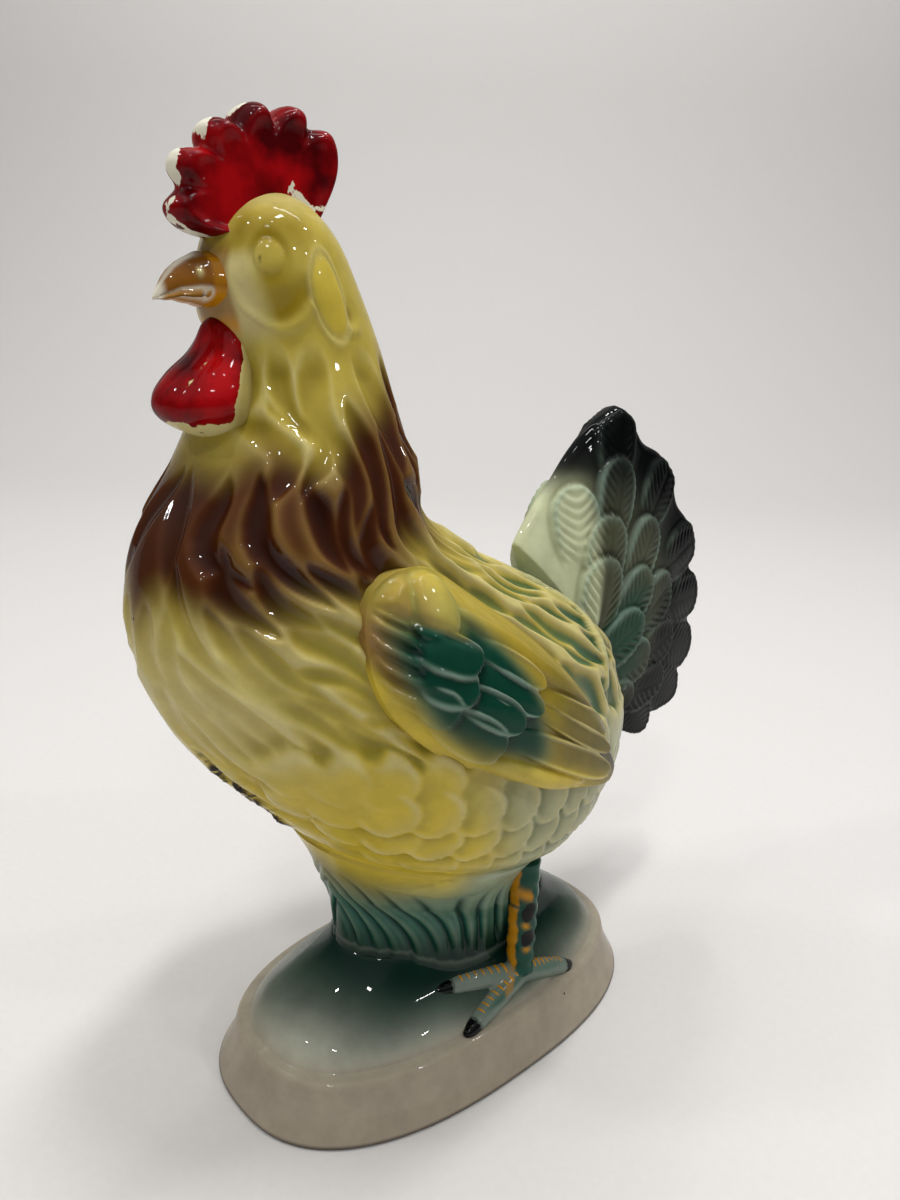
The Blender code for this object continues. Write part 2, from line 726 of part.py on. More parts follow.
def comb_outline():
    """Round lobes over the crown, closed by an arc inside the head."""
    polar = []
    steps = 60
    first, last = COMB_FAN[0][0], COMB_FAN[-1][0]
    for share in even(steps):
        degrees = first + share * (last - first)
        reach = smooth_through(COMB_FAN, degrees)[0] * COMB_REACH
        for low, high in zip(COMB_TIPS, COMB_TIPS[1:]):
            if low < degrees < high:
                reach -= COMB_SCALLOP * math.sin(math.pi * (degrees - low) / (high - low)) ** 3
        polar.append((degrees, reach))
    for share in even(6)[1:-1]:
        polar.append((last + share * (360 + first - last), COMB_ROOT_SHARE * COMB_REACH))
    return [around(comb_middle(), degrees, reach) for degrees, reach in polar]


def make_comb(group, finish, *clearances):
    half = COMB_THICKNESS / 2
    near = [(1.0, 0.0), (0.97, 0.45 * half), (0.88, 0.72 * half), (0.6, 0.9 * half), (0.0, half)]
    far = [(share, -height) for share, height in near]
    comb = add_object("comb", pillow(comb_outline(), comb_middle(), near, far), group, finish)
    cut(comb, *clearances)
    return comb


def beak_solid():
    """A short hooked cone, run forwards from inside the face."""
    z = HEAD_SEAM + BEAK_HEIGHT_SHARE * HEAD_HEIGHT
    root_y = smooth_through(TRUNK, z)[0]
    rings = []
    stations = [(BEAK_SINK, 1.0, 0.0)]
    for share, size, sag in ((0.0, 0.96, 0.0), (0.35, 0.74, 0.03), (0.7, 0.44, 0.12), (0.95, 0.16, 0.24)):
        stations.append((-share * BEAK_LENGTH, size, sag))
    for behind, size, sag in stations:
        y = root_y + behind
        ring = []
        for angle in turn(BEAK_STEPS):
            x = size * BEAK_WIDTH / 2 * math.cos(angle)
            ring.append(Vector((x, y, z + BEAK_DEPTH * (size / 2 * math.sin(angle) - sag))))
        rings.append(ring)
    return loft(rings, Vector((0.0, root_y - BEAK_LENGTH, z - 0.28 * BEAK_DEPTH)))


def make_beak(group, finish, trunk_clearance):
    beak = add_object("beak", beak_solid(), group, finish)
    cut(beak, trunk_clearance)
    return beak


def make_wattle(group, finish, *clearances):
    """A drop-shaped bulb below the beak, fuller at its foot."""
    drop = bmesh.new()
    bmesh.ops.create_uvsphere(drop, u_segments=28, v_segments=16, radius=1.0)
    middle = HEAD_SEAM - 0.28 * WATTLE_LENGTH
    middle_y = smooth_through(TRUNK, middle)[0] + (WATTLE_SINK - WATTLE_PROUD) / 2
    depth = (WATTLE_PROUD + WATTLE_SINK) / 2
    for point in drop.verts:
        x, y, z = point.co
        fullness = 1.0 - WATTLE_FULLNESS * z
        point.co = Vector((x * fullness * WATTLE_WIDTH / 2,
                           middle_y + WATTLE_LEAN * z + y * fullness * depth,
                           middle + z * WATTLE_LENGTH / 2))
    wattle = add_object("wattle", drop, group, finish)
    cut(wattle, *clearances)
    return wattle


def tapered_rod(name, points, group):
    """A round rod through points that each carry a radius, as a closed mesh."""
    curve = bpy.data.curves.new(name, 'CURVE')
    curve.dimensions = '3D'
    curve.bevel_depth = 1.0
    curve.bevel_resolution = LEG_STEPS // 4 - 1
    curve.use_fill_caps = True
    spline = curve.splines.new('POLY')
    spline.points.add(len(points) - 1)
    for target, (place, radius) in zip(spline.points, points):
        target.co = (*place, 1.0)
        target.radius = radius
    guide = bpy.data.objects.new(name, curve)
    group.objects.link(guide)
    bpy.context.view_layer.update()
    mesh = bpy.data.meshes.new_from_object(guide.evaluated_get(bpy.context.evaluated_depsgraph_get()))
    bpy.data.objects.remove(guide)
    rod = bmesh.new()
    rod.from_mesh(mesh)
    bmesh.ops.remove_doubles(rod, verts=rod.verts, dist=WELD_DISTANCE)
    return rod


def on_mound(x, y):
    """Height of the mound's surface at a place in plan."""
    inset = 1.25 * PLINTH_BATTER
    power = PLINTH_SQUARENESS
    across = abs(x / (PLINTH_WIDTH / 2 - inset)) ** power
    along = abs(y / (PLINTH_LENGTH / 2 - inset)) ** power
    return mound_height(min((across + along) ** (1 / power), 1.0))


def toe_points(side, ankle, degrees, length):
    points = []
    for share, size in ((0.0, 1.0), (0.3, 1.0), (0.6, 0.9), (0.8, 0.75), (1.0, CLAW_RADIUS / TOE_RADIUS)):
        x = ankle.x + side * share * length * math.sin(math.radians(degrees))
        y = ankle.y - share * length * math.cos(math.radians(degrees))
        radius = size * TOE_RADIUS
        lift = TOE_PROUD * (1.4 - share)
        points.append((Vector((x, y, on_mound(x, y) + lift)), radius))
    return points


def make_leg(side, group, cutters, finish, *clearances):
    waist = pedestal_point(0.0, 0.5, ribbed=False).x
    x = side * (waist + SHANK_PROUD)
    y = SHANK_BEHIND_CENTRE
    ankle = Vector((x, y, on_mound(x, y) + TOE_PROUD))
    knee = Vector((x, y + SHANK_LEAN, crease(y + SHANK_LEAN) + SHANK_RADIUS))
    shank = [(ankle, 0.95 * SHANK_RADIUS), (ankle.lerp(knee, 0.5), 0.85 * SHANK_RADIUS), (knee, SHANK_RADIUS)]
    name = "leg_left" if side > 0 else "leg_right"
    leg = add_object(name, tapered_rod(name + "_shank", shank, cutters), group, finish)
    toes = [(-TOE_SPREAD, TOE_LENGTH), (TOE_SPREAD, TOE_LENGTH), (180 - TOE_SPREAD, HIND_TOE_LENGTH)]
    for number, (degrees, length) in enumerate(toes, 1):
        toe_name = f"{name}_toe_{number}"
        rod = tapered_rod(toe_name, toe_points(side, ankle, degrees, length), cutters)
        toe = add_cutter(toe_name, rod, cutters)
        join = leg.modifiers.new("Join " + toe_name, 'BOOLEAN')
        join.operation = 'UNION'
        join.object = toe
    cut(leg, *clearances)
    return leg


def build():
    remove_everything()
    bird = collection("pottery_rooster")
    cutters = collection("cutters")
    yellow = glaze("yellow glaze", (0.62, 0.52, 0.14))
    brown = glaze("brown glaze", (0.20, 0.06, 0.03))
    green = glaze("green glaze", (0.02, 0.20, 0.16))
    putty = glaze("putty glaze", (0.55, 0.52, 0.45))
    black = glaze("black glaze", (0.02, 0.025, 0.03))
    red = glaze("red cold paint", (0.45, 0.01, 0.01), 0.3)
    ochre = glaze("ochre paint", (0.40, 0.22, 0.05), 0.3)

    trunk_clearance = make_trunk_clearance(cutters)
    crease_clearance = make_crease_clearance(cutters)
    plinth_clearance = add_cutter("plinth_clearance", grown(plinth_solid()), cutters)
    pedestal_clearance = add_cutter("pedestal_clearance", grown(pedestal_solid()), cutters)
    beak_clearance = add_cutter("beak_clearance", grown(beak_solid()), cutters)

    make_plinth(bird, cutters, putty)
    make_pedestal(bird, green, plinth_clearance)
    make_body(bird, yellow)
    make_neck(bird, brown)
    make_head(bird, cutters, yellow)
    make_beak(bird, ochre, trunk_clearance)
    make_comb(bird, red, trunk_clearance, beak_clearance)
    make_wattle(bird, red, trunk_clearance, beak_clearance)
    make_tail(bird, black, trunk_clearance)
    for side in (1, -1):
        make_wing(side, bird, green, trunk_clearance)
        make_leg(side, bird, cutters, ochre, pedestal_clearance, plinth_clearance, crease_clearance)


build()
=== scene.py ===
"""Looks of the glazed pottery rooster: carved feathers, airbrushed glaze, flaked paint, floor and light."""

import math

import bmesh
import bpy
import numpy as np
from mathutils import Matrix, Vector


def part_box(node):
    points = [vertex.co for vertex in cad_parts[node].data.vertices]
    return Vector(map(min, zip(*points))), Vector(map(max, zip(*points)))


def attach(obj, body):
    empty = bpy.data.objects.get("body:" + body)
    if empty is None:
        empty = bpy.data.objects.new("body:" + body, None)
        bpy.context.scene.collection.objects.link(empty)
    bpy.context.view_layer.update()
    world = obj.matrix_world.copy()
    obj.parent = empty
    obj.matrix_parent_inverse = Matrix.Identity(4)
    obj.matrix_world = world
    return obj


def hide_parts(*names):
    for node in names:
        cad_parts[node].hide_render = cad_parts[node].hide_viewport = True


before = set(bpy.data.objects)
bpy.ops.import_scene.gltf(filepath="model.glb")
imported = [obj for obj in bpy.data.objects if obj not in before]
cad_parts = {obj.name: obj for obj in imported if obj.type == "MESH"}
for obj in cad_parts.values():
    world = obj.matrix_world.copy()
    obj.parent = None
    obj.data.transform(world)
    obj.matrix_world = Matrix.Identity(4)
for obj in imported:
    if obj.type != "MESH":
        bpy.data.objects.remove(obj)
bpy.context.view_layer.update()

# The figure's lengths are millimetres until a mesh is made; the floor and the lamps are placed in metres
MM = 0.001
RNG = np.random.default_rng(11)
# Faces that meet at more than this many degrees keep a crisp edge
SHARP_EDGE = 70


def box_mm(node):
    low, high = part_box(node)
    return np.array(low) / MM, np.array(high) / MM


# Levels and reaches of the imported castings
SEAM = 0.15
NECK_SEAM = box_mm("body")[1][2] + SEAM
HEAD_SEAM = box_mm("neck")[1][2] + SEAM
CROWN = box_mm("head")[1][2]
PLINTH_HALF_WIDTH, PLINTH_HALF_LENGTH = box_mm("plinth")[1][:2]
MOUND_TOP = 26.0
PLINTH_BAND = 15.0
CREASE_HEIGHT = 50.0
CREASE_SLOPE = 0.295

# The bird's flowing form, in the same profile as its castings
BODY_HEIGHT = NECK_SEAM - CREASE_HEIGHT
NECK_HEIGHT = HEAD_SEAM - NECK_SEAM
HEAD_HEIGHT = CROWN - HEAD_SEAM
BREAST_REACH, RUMP_REACH, BODY_WIDTH = 83.0, 63.0, 82.0
NECK_FRONT, NECK_BACK, NECK_WIDTH = 63.0, 28.0, 38.0
HEAD_FRONT, HEAD_BACK, HEAD_WIDTH = 65.5, 32.0, 34.0
EGG_SKEW = 0.18
BODY_PROFILE = [
    (-0.14, 0.30, 0.46, 0.42), (0.00, 0.45, 0.57, 0.58), (0.08, 0.46, 0.72, 0.74), (0.16, 0.49, 0.87, 0.85),
    (0.30, 0.65, 1.00, 0.95), (0.45, 0.82, 1.00, 0.99), (0.60, 0.94, 0.83, 1.00), (0.75, 1.00, 0.46, 0.93),
    (0.88, 0.99, 0.06, 0.84), (1.00, 0.94, -0.24, 0.78),
]
NECK_PROFILE = [(0.33, 0.53, 0.35, 0.23), (0.67, 0.87, 0.77, 0.62), (1.00, 1.00, 1.00, 1.00)]
HEAD_PROFILE = [
    (0.41, 1.00, 1.03, 0.98), (0.68, 0.97, 1.16, 0.84), (0.86, 0.91, 1.30, 0.60), (0.96, 0.85, 1.43, 0.30),
    (1.00, 0.80, 1.56, 0.06),
]
PEDESTAL_FRONT, PEDESTAL_BACK, PEDESTAL_WIDTH = 40.0, 32.5, 51.0
PEDESTAL_PROFILE = [
    (0.00, 1.08, 1.62, 0.98), (0.35, 0.84, 1.24, 0.82), (0.70, 0.86, 1.08, 0.87), (1.00, 1.00, 1.00, 1.00),
    (1.12, 0.85, 0.85, 0.85),
]

# Glaze and paint colours, sRGB
HEX = {
    "straw": "#b5a246", "cream": "#cfc48c", "lemon": "#cfb63c", "gold": "#8a7206", "russet": "#471a09",
    "brown": "#2d0d05", "umber": "#190502", "tan": "#a27a48", "green": "#034030", "deep_green": "#011f18",
    "teal": "#2a6155", "sage": "#8a9a80", "mist": "#7f9484", "pale": "#a3ab8e", "moss": "#4f6a3a",
    "lichen": "#b2b6a6", "pine": "#223229", "olive": "#4f4a18", "putty": "#a09583", "foot": "#33221a",
    "black": "#030405", "slate": "#171b1e", "grey": "#4a4c39", "ochre": "#c98a12", "amber": "#7d4e12",
    "white": "#e2ddc8", "ivory": "#c6cba6", "scar": "#1e100a", "paper": "#d4d1ce", "crimson": "#a2090f",
    "garnet": "#480105",
}


def linear(code):
    """sRGB hex to linear RGB."""
    parts = np.array([int(code[k:k + 2], 16) / 255 for k in (1, 3, 5)])
    return np.where(parts <= 0.04045, parts / 12.92, ((parts + 0.055) / 1.055) ** 2.4)


PAINT = {name: linear(code) for name, code in HEX.items()}


def ramp(value, low, high):
    """Soft step from 0 at low to 1 at high."""
    t = np.clip((value - low) / (high - low), 0, 1)
    return t * t * (3 - 2 * t)


def fade(value, low, high):
    """Soft step from 1 at low down to 0 at high."""
    return 1 - ramp(value, low, high)


def puff(value, centre, spread):
    """Soft spot of an airbrush: 1 at its centre."""
    return np.exp(-((value - centre) / spread) ** 2)


def dome(share):
    """Height of a round swelling: 1 at its middle, 0 from its edge outwards."""
    return np.sqrt(np.clip(1 - share ** 2, 0, 1))


class Coat:
    """Colours of a grid of points, airbrushed in layers over a ground: slip colours, and in places painted
    highlights.
    """

    def __init__(self, ground, points):
        self.colours = np.broadcast_to(PAINT[ground], points.shape).copy()

    def spray(self, name, weight):
        w = np.clip(weight, 0, 1)[..., None]
        self.colours = self.colours * (1 - w) + PAINT[name] * w


def smooth_through(rows, at):
    """Columns of a table, read along a smooth curve at values of its first column."""
    rows = np.asarray(rows, float)
    at = np.asarray(at, float)
    x, y = rows[:, 0], rows[:, 1:]
    slope = np.empty_like(y)
    slope[1:-1] = (y[2:] - y[:-2]) / (x[2:] - x[:-2])[:, None]
    slope[0] = (y[1] - y[0]) / (x[1] - x[0])
    slope[-1] = (y[-1] - y[-2]) / (x[-1] - x[-2])
    k = np.clip(np.searchsorted(x, at) - 1, 0, len(x) - 2)
    width = (x[k + 1] - x[k])[..., None]
    t = (at - x[k])[..., None] / width
    blend = t * t * (3 - 2 * t)
    read = y[k] + (y[k + 1] - y[k]) * blend
    read += width * (slope[k] * t * (1 - t) ** 2 - slope[k + 1] * t * t * (1 - t))
    return np.moveaxis(read, -1, 0)


def trunk_table():
    table = []
    for height, front, back, width in BODY_PROFILE:
        z = CREASE_HEIGHT + height * BODY_HEIGHT
        table.append((z, -front * BREAST_REACH, back * RUMP_REACH, width * BODY_WIDTH / 2))
    base = table[-1]
    top = (-NECK_FRONT, -NECK_BACK, NECK_WIDTH / 2)
    for height, *shares in NECK_PROFILE:
        sides = [base[n + 1] + share * (top[n] - base[n + 1]) for n, share in enumerate(shares)]
        table.append((NECK_SEAM + height * NECK_HEIGHT, *sides))
    for height, front, back, width in HEAD_PROFILE:
        z = HEAD_SEAM + height * HEAD_HEIGHT
        table.append((z, -front * HEAD_FRONT, -back * HEAD_BACK, width * HEAD_WIDTH / 2))
    return table


TRUNK = trunk_table()


def egg_skew(z):
    return EGG_SKEW * np.clip((NECK_SEAM - z) / (0.6 * BODY_HEIGHT), 0, 1)


def trunk(a, z):
    """The bird's smooth surface: a is the angle round it, 0 at the breast and positive to its left."""
    a, z = np.broadcast_arrays(a, z)
    front, back, half_width = smooth_through(TRUNK, z)
    along = -np.cos(a)
    x = half_width * np.sin(a) * (1 - egg_skew(z) * along)
    return np.stack([x, (front + back) / 2 + (back - front) / 2 * along, z], -1)


def trunk_side(y, z):
    """Half the bird's width at a place in its side view."""
    front, back, half_width = smooth_through(TRUNK, z)
    along = np.clip((2 * y - front - back) / (back - front), -1, 1)
    return half_width * np.sqrt(1 - along ** 2) * (1 - egg_skew(z) * along)


def crease(y):
    return CREASE_HEIGHT - CREASE_SLOPE * y


def belly_foot(a):
    """Height at which the belly meets the sloping crease over the pedestal."""
    z = np.full_like(a, CREASE_HEIGHT)
    for _ in range(40):
        z = crease(trunk(a, z)[..., 1])
    return z


def turn(steps):
    return np.linspace(0, 2 * math.pi, steps, endpoint=False)


def surface_normals(points):
    """Outward normals of a grid that closes along its columns."""
    across = np.roll(points, -1, 1) - np.roll(points, 1, 1)
    up = np.gradient(points, axis=0)
    normal = np.cross(across, up)
    return normal / (np.linalg.norm(normal, axis=-1, keepdims=True) + 1e-9)


def soften(field, rounds=1):
    """Even out a field over neighbouring points, as glaze fills small hollows."""
    for _ in range(rounds):
        rows = np.pad(field, ((1, 1), (0, 0)), mode="edge")
        field = (rows[:-2] + 2 * rows[1:-1] + rows[2:]) / 4
        field = (np.roll(field, 1, 1) + 2 * field + np.roll(field, -1, 1)) / 4
    return field


# Share of a feather's length at which its end starts to round, and the spacing of its barbs
FEATHER_ROUNDING, BARB_PITCH = 0.62, 2.8


class Skin:
    """A grid of surface points with the relief that is carved into it and built up on it."""

    def __init__(self, points):
        self.points = points
        self.normals = surface_normals(points)
        self.flat = points.reshape(-1, 3)
        count = len(self.flat)
        self.level = np.zeros(count)
        self.detail = np.zeros(count)
        self.edge = np.zeros(count)

    def along(self, path, reach):
        """Points near a path, how far along it they lie (0 to 1) and how far from it."""
        path = np.asarray(path, float)
        middle = path.mean(0)
        radius = np.linalg.norm(path - middle, axis=1).max() + reach
        near = np.flatnonzero(((self.flat - middle) ** 2).sum(1) < radius ** 2)
        step = np.diff(path, axis=0)
        size = np.linalg.norm(step, axis=1)
        start = np.concatenate([[0], np.cumsum(size)[:-1]])
        offset = self.flat[near][:, None] - path[:-1][None]
        t = np.clip((offset * step).sum(-1) / size ** 2, 0, 1)
        miss = ((offset - t[..., None] * step) ** 2).sum(-1)
        k = miss.argmin(1)
        row = np.arange(len(near))
        s = (start[k] + t[row, k] * size[k]) / size.sum()
        return near, s, np.sqrt(miss[row, k]), size.sum()

    def gouge(self, path, half_width, depth):
        """A hollow cut pointed at both ends: neighbouring cuts leave a thin ridge between them."""
        near, s, far, _ = self.along(path, half_width)
        width = half_width * np.clip(np.sin(math.pi * s ** 0.85), 0.02, 1) ** 0.7
        q = far / width
        cut = -depth * np.clip(1 - q ** 2, 0, 1) * np.clip(np.sin(math.pi * s), 0, 1) ** 0.5
        self.level[near] = np.minimum(self.level[near], cut)

    def lock(self, path, half_width, rise):
        """A rounded strand that swells from its root and thins to a point."""
        near, s, far, _ = self.along(path, half_width)
        width = half_width * np.clip(ramp(s, -0.25, 0.3) * (1 - s ** 2.2), 0.03, 1)
        q = np.clip(far / width, 0, 1)
        swell = rise * np.sqrt(1 - q ** 2) * (0.35 + 0.65 * ramp(s, 0, 0.35)) * (1 - 0.45 * s)
        inside = near[q < 1]
        self.level[inside] = np.maximum(self.level[inside], swell[q < 1])

    def feather(self, path, half_width, lift, rim, barb=0.0):
        """A round-ended feather that overlaps its neighbours like a shingle, with optional barbs."""
        near, s, far, length = self.along(path, half_width)
        end = np.clip((s - FEATHER_ROUNDING) / (1 - FEATHER_ROUNDING), 0, 0.999)
        width = half_width * np.sqrt(1 - end ** 2) * (0.72 + 0.28 * ramp(s, 0, 0.5))
        q = far / np.maximum(width, 0.05)
        inside = fade(q, 0.84, 1.02)
        level = lift * (0.1 + 0.9 * s) * inside + 0.22 * lift * dome(q) * inside
        ring = puff(q, 0.84, 0.13) * ramp(s, 0.1, 0.5)
        level += rim * ring
        level = self.level[near] + (level - self.level[near]) * ramp(s, 0, 0.3)
        comb = np.cos(2 * math.pi * (s * length - 0.9 * far) / BARB_PITCH)
        detail = barb * comb * ramp(q, 0.12, 0.4) * fade(q, 0.8, 0.95) * ramp(s, 0.05, 0.3)
        spine = -0.5 * barb * puff(far, 0, 0.55) * fade(s, 0.75, 0.95)
        top = (level > self.level[near]) & (q < 1.02)
        chosen = near[top]
        self.level[chosen] = level[top]
        self.detail[chosen] = (detail + spine)[top]
        self.edge[chosen] = ring[top]

    def relief(self):
        return soften((self.level + self.detail).reshape(self.points.shape[:2]))

    def raised(self, height):
        return self.points + self.normals * height[..., None]


def carved(height, full_ridge, full_groove, reach=24):
    """Shares of ridge and of groove in a relief, against its own broad average."""
    step = height - soften(height, reach)
    return np.clip(step / full_ridge, 0, 1), np.clip(-step / full_groove, 0, 1)


def both_faces(near):
    """A grid on one face of a flat piece, joined at its rim to its mirror image."""
    return np.concatenate([near[::-1] * [-1, 1, 1], near])


def quads(rows, columns):
    """Faces of a grid that closes along its columns, and its first and last rings."""
    index = np.arange(rows * columns).reshape(rows, columns)
    right = np.roll(index, -1, 1)
    faces = np.stack([index[:-1], right[:-1], right[1:], index[1:]], -1).reshape(-1, 4).tolist()
    return faces, index[0].tolist(), index[-1].tolist()


def capped(grid):
    """A grid's values in one row, then the means of its first and its last ring."""
    return np.concatenate([grid.reshape(-1, *grid.shape[2:]), [grid[0].mean(0), grid[-1].mean(0)]])


def set_paint(mesh, colours):
    layer = mesh.attributes.new("paint", 'FLOAT_COLOR', 'POINT')
    full = np.concatenate([colours, np.ones((len(colours), 1))], 1)
    layer.data.foreach_set("color", full.astype(np.float32).ravel())


def finish_piece(name, mesh):
    piece = bpy.data.objects.new(name, mesh)
    bpy.context.scene.collection.objects.link(piece)
    return piece


def make_piece(name, points, colours, crown=None, wear=None, flip=False, shading=None):
    """A closed mesh from a grid that closes along its columns, with a point over each end ring."""
    faces, low_ring, high_ring = quads(*points.shape[:2])
    low_end = points.shape[0] * points.shape[1]
    faces += [(b, a, low_end) for a, b in zip(low_ring, low_ring[1:] + low_ring[:1])]
    faces += [(a, b, low_end + 1) for a, b in zip(high_ring, high_ring[1:] + high_ring[:1])]
    if flip:
        faces = [face[::-1] for face in faces]
    verts = capped(points)
    if crown is not None:
        verts[-1] = crown
    mesh = bpy.data.meshes.new(name)
    mesh.from_pydata((verts * MM).tolist(), [], faces)
    set_paint(mesh, capped(colours))
    if wear is not None:
        layer = mesh.attributes.new("wear", 'FLOAT', 'POINT')
        layer.data.foreach_set("value", capped(wear).astype(np.float32))
    mesh.shade_smooth()
    mesh.set_sharp_from_angle(angle=math.radians(SHARP_EDGE))
    if shading is not None:
        normals = np.concatenate([shading.reshape(-1, 3), [(0.0, 0.0, 1.0), (0.0, 0.0, 1.0)]])
        mesh.normals_split_custom_set_from_vertices(normals.tolist())
    return finish_piece(name, mesh)


def dress(piece, material, slot, *nodes):
    """Give a piece its finish, hang it under the root and hide the casting that it stands for."""
    piece.data.materials.clear()
    piece.data.materials.append(material)
    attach(piece, "root")
    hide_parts(*nodes)


def add(tree, kind, inputs=None, **settings):
    """Add a node, set its options and fill its sockets with values or links."""
    item = tree.nodes.new(kind)
    for key, value in settings.items():
        setattr(item, key, value)
    for key, value in (inputs or {}).items():
        if isinstance(value, bpy.types.NodeSocket):
            tree.links.new(value, item.inputs[key])
        else:
            item.inputs[key].default_value = value
    return item


def new_material(name):
    material = bpy.data.materials.new(name)
    material.use_nodes = True
    tree = material.node_tree
    tree.nodes.clear()
    return material, tree


def rgba(name):
    return (*PAINT[name], 1.0)


def per_mm(size):
    """Texture scale that gives a pattern of this size in millimetres on Object coordinates."""
    return 1.0 / (size * MM)


# Sizes of the finishes' patterns in millimetres; the paint's film is drawn thick enough to show
MOTTLE_SIZE, PINHOLE_SPACING, RIPPLE_SIZE, RIPPLE_DEPTH = 7.0, 11.0, 5.0, 0.6
CHIP_SIZE, BRUSH_CLOUD, PAINT_FILM = 4.5, 9.0, 0.12
GLAZE_IOR = 1.42


def glazed_earthenware(name, colour=None, gloss=0.55):
    """Clear glaze over airbrushed slip: wet gloss, slight ripple, rare dark pinholes.

    The slip's colour, with the highlights painted on it, comes with each point, unless one colour is named.
    """
    material, tree = new_material(name)
    place = add(tree, 'ShaderNodeTexCoord').outputs["Object"]
    if colour is None:
        slip = add(tree, 'ShaderNodeAttribute', attribute_name="paint").outputs["Color"]
    else:
        slip = rgba(colour)
    mottle = add(tree, 'ShaderNodeTexNoise', {
        "Vector": place, "Scale": per_mm(MOTTLE_SIZE), "Detail": 5.0, "Roughness": 0.6})
    shade = add(tree, 'ShaderNodeMapRange', {
        "Value": mottle.outputs["Fac"], "From Min": 0.3, "From Max": 0.7, "To Min": 0.86, "To Max": 1.08})
    tinted = add(tree, 'ShaderNodeMix', {"Factor": 1.0, "A": slip, "B": shade.outputs["Result"]},
                 data_type='RGBA', blend_type='MULTIPLY')
    holes = add(tree, 'ShaderNodeTexVoronoi', {"Vector": place, "Scale": per_mm(PINHOLE_SPACING)})
    chance = add(tree, 'ShaderNodeSeparateColor', {"Color": holes.outputs["Color"]})
    rare = add(tree, 'ShaderNodeMath', {0: chance.outputs["Red"], 1: 0.84}, operation='GREATER_THAN')
    size = add(tree, 'ShaderNodeMapRange', {
        "Value": chance.outputs["Green"], "To Min": 0.015, "To Max": 0.045})
    dot = add(tree, 'ShaderNodeMath', {0: holes.outputs["Distance"], 1: size.outputs["Result"]},
              operation='LESS_THAN')
    pin = add(tree, 'ShaderNodeMath', {0: rare.outputs[0], 1: dot.outputs[0]}, operation='MULTIPLY')
    mixed = add(tree, 'ShaderNodeMix', {
        "Factor": pin.outputs[0], "A": tinted.outputs["Result"], "B": rgba("scar")}, data_type='RGBA')
    ripple = add(tree, 'ShaderNodeTexNoise', {"Vector": place, "Scale": per_mm(RIPPLE_SIZE), "Detail": 2.0})
    bump = add(tree, 'ShaderNodeBump', {
        "Height": ripple.outputs["Fac"], "Strength": 0.12, "Distance": RIPPLE_DEPTH * MM})
    shader = add(tree, 'ShaderNodeBsdfPrincipled', {
        "Base Color": mixed.outputs["Result"], "Roughness": 0.55, "IOR": 1.5, "Specular IOR Level": 0.0,
        "Coat Weight": gloss, "Coat Roughness": 0.025, "Coat IOR": GLAZE_IOR,
        "Coat Normal": bump.outputs["Normal"]})
    add(tree, 'ShaderNodeOutputMaterial', {"Surface": shader.outputs["BSDF"]})
    return material


def cold_paint(name):
    """Red paint brushed on after firing: it has flaked off proud edges, down to the cream glaze."""
    material, tree = new_material(name)
    place = add(tree, 'ShaderNodeTexCoord').outputs["Object"]
    wear = add(tree, 'ShaderNodeAttribute', attribute_name="wear").outputs["Fac"]
    under = add(tree, 'ShaderNodeAttribute', attribute_name="paint").outputs["Color"]
    chips = add(tree, 'ShaderNodeTexNoise', {
        "Vector": place, "Scale": per_mm(CHIP_SIZE), "Detail": 6.0, "Roughness": 0.55})
    torn = add(tree, 'ShaderNodeMath', {0: wear, 1: chips.outputs["Fac"]}, operation='ADD')
    bare = add(tree, 'ShaderNodeMapRange', {"Value": torn.outputs[0], "From Min": 0.99, "From Max": 1.01})
    cloud = add(tree, 'ShaderNodeTexNoise', {"Vector": place, "Scale": per_mm(BRUSH_CLOUD), "Detail": 4.0})
    deep = add(tree, 'ShaderNodeMapRange', {
        "Value": cloud.outputs["Fac"], "From Min": 0.35, "From Max": 0.65})
    red = add(tree, 'ShaderNodeMix', {
        "Factor": deep.outputs["Result"], "A": rgba("garnet"), "B": rgba("crimson")}, data_type='RGBA')
    colour = add(tree, 'ShaderNodeMix', {
        "Factor": bare.outputs["Result"], "A": red.outputs["Result"], "B": under}, data_type='RGBA')
    step = add(tree, 'ShaderNodeBump', {
        "Height": bare.outputs["Result"], "Strength": 0.5, "Distance": -PAINT_FILM * MM})
    shader = add(tree, 'ShaderNodeBsdfPrincipled', {
        "Base Color": colour.outputs["Result"], "Roughness": 0.5, "IOR": 1.5, "Specular IOR Level": 0.0,
        "Coat Weight": 0.34, "Coat Roughness": 0.035, "Coat IOR": GLAZE_IOR,
        "Coat Normal": step.outputs["Normal"]})
    add(tree, 'ShaderNodeOutputMaterial', {"Surface": shader.outputs["BSDF"]})
    return material


# Trunk: body, neck and head as one skin, split at their seams
TRUNK_COLUMNS = 540
BODY_ROWS, NECK_ROWS, HEAD_ROWS = 178, 62, 62


def trunk_grid():
    """Angles and heights of the skin's points: the belly's foot follows the sloping crease."""
    a = turn(TRUNK_COLUMNS)
    foot = belly_foot(a)
    share = np.linspace(0, 1, BODY_ROWS + 1)[:, None]
    level = np.concatenate([
        np.linspace(NECK_SEAM, HEAD_SEAM, NECK_ROWS + 1)[1:],
        HEAD_SEAM + HEAD_HEIGHT * np.sin(np.linspace(0, 0.985, HEAD_ROWS + 1)[1:] * math.pi / 2)])
    z = np.concatenate([foot + share * (NECK_SEAM - foot), np.repeat(level[:, None], TRUNK_COLUMNS, 1)])
    return np.broadcast_to(a, z.shape), z, foot


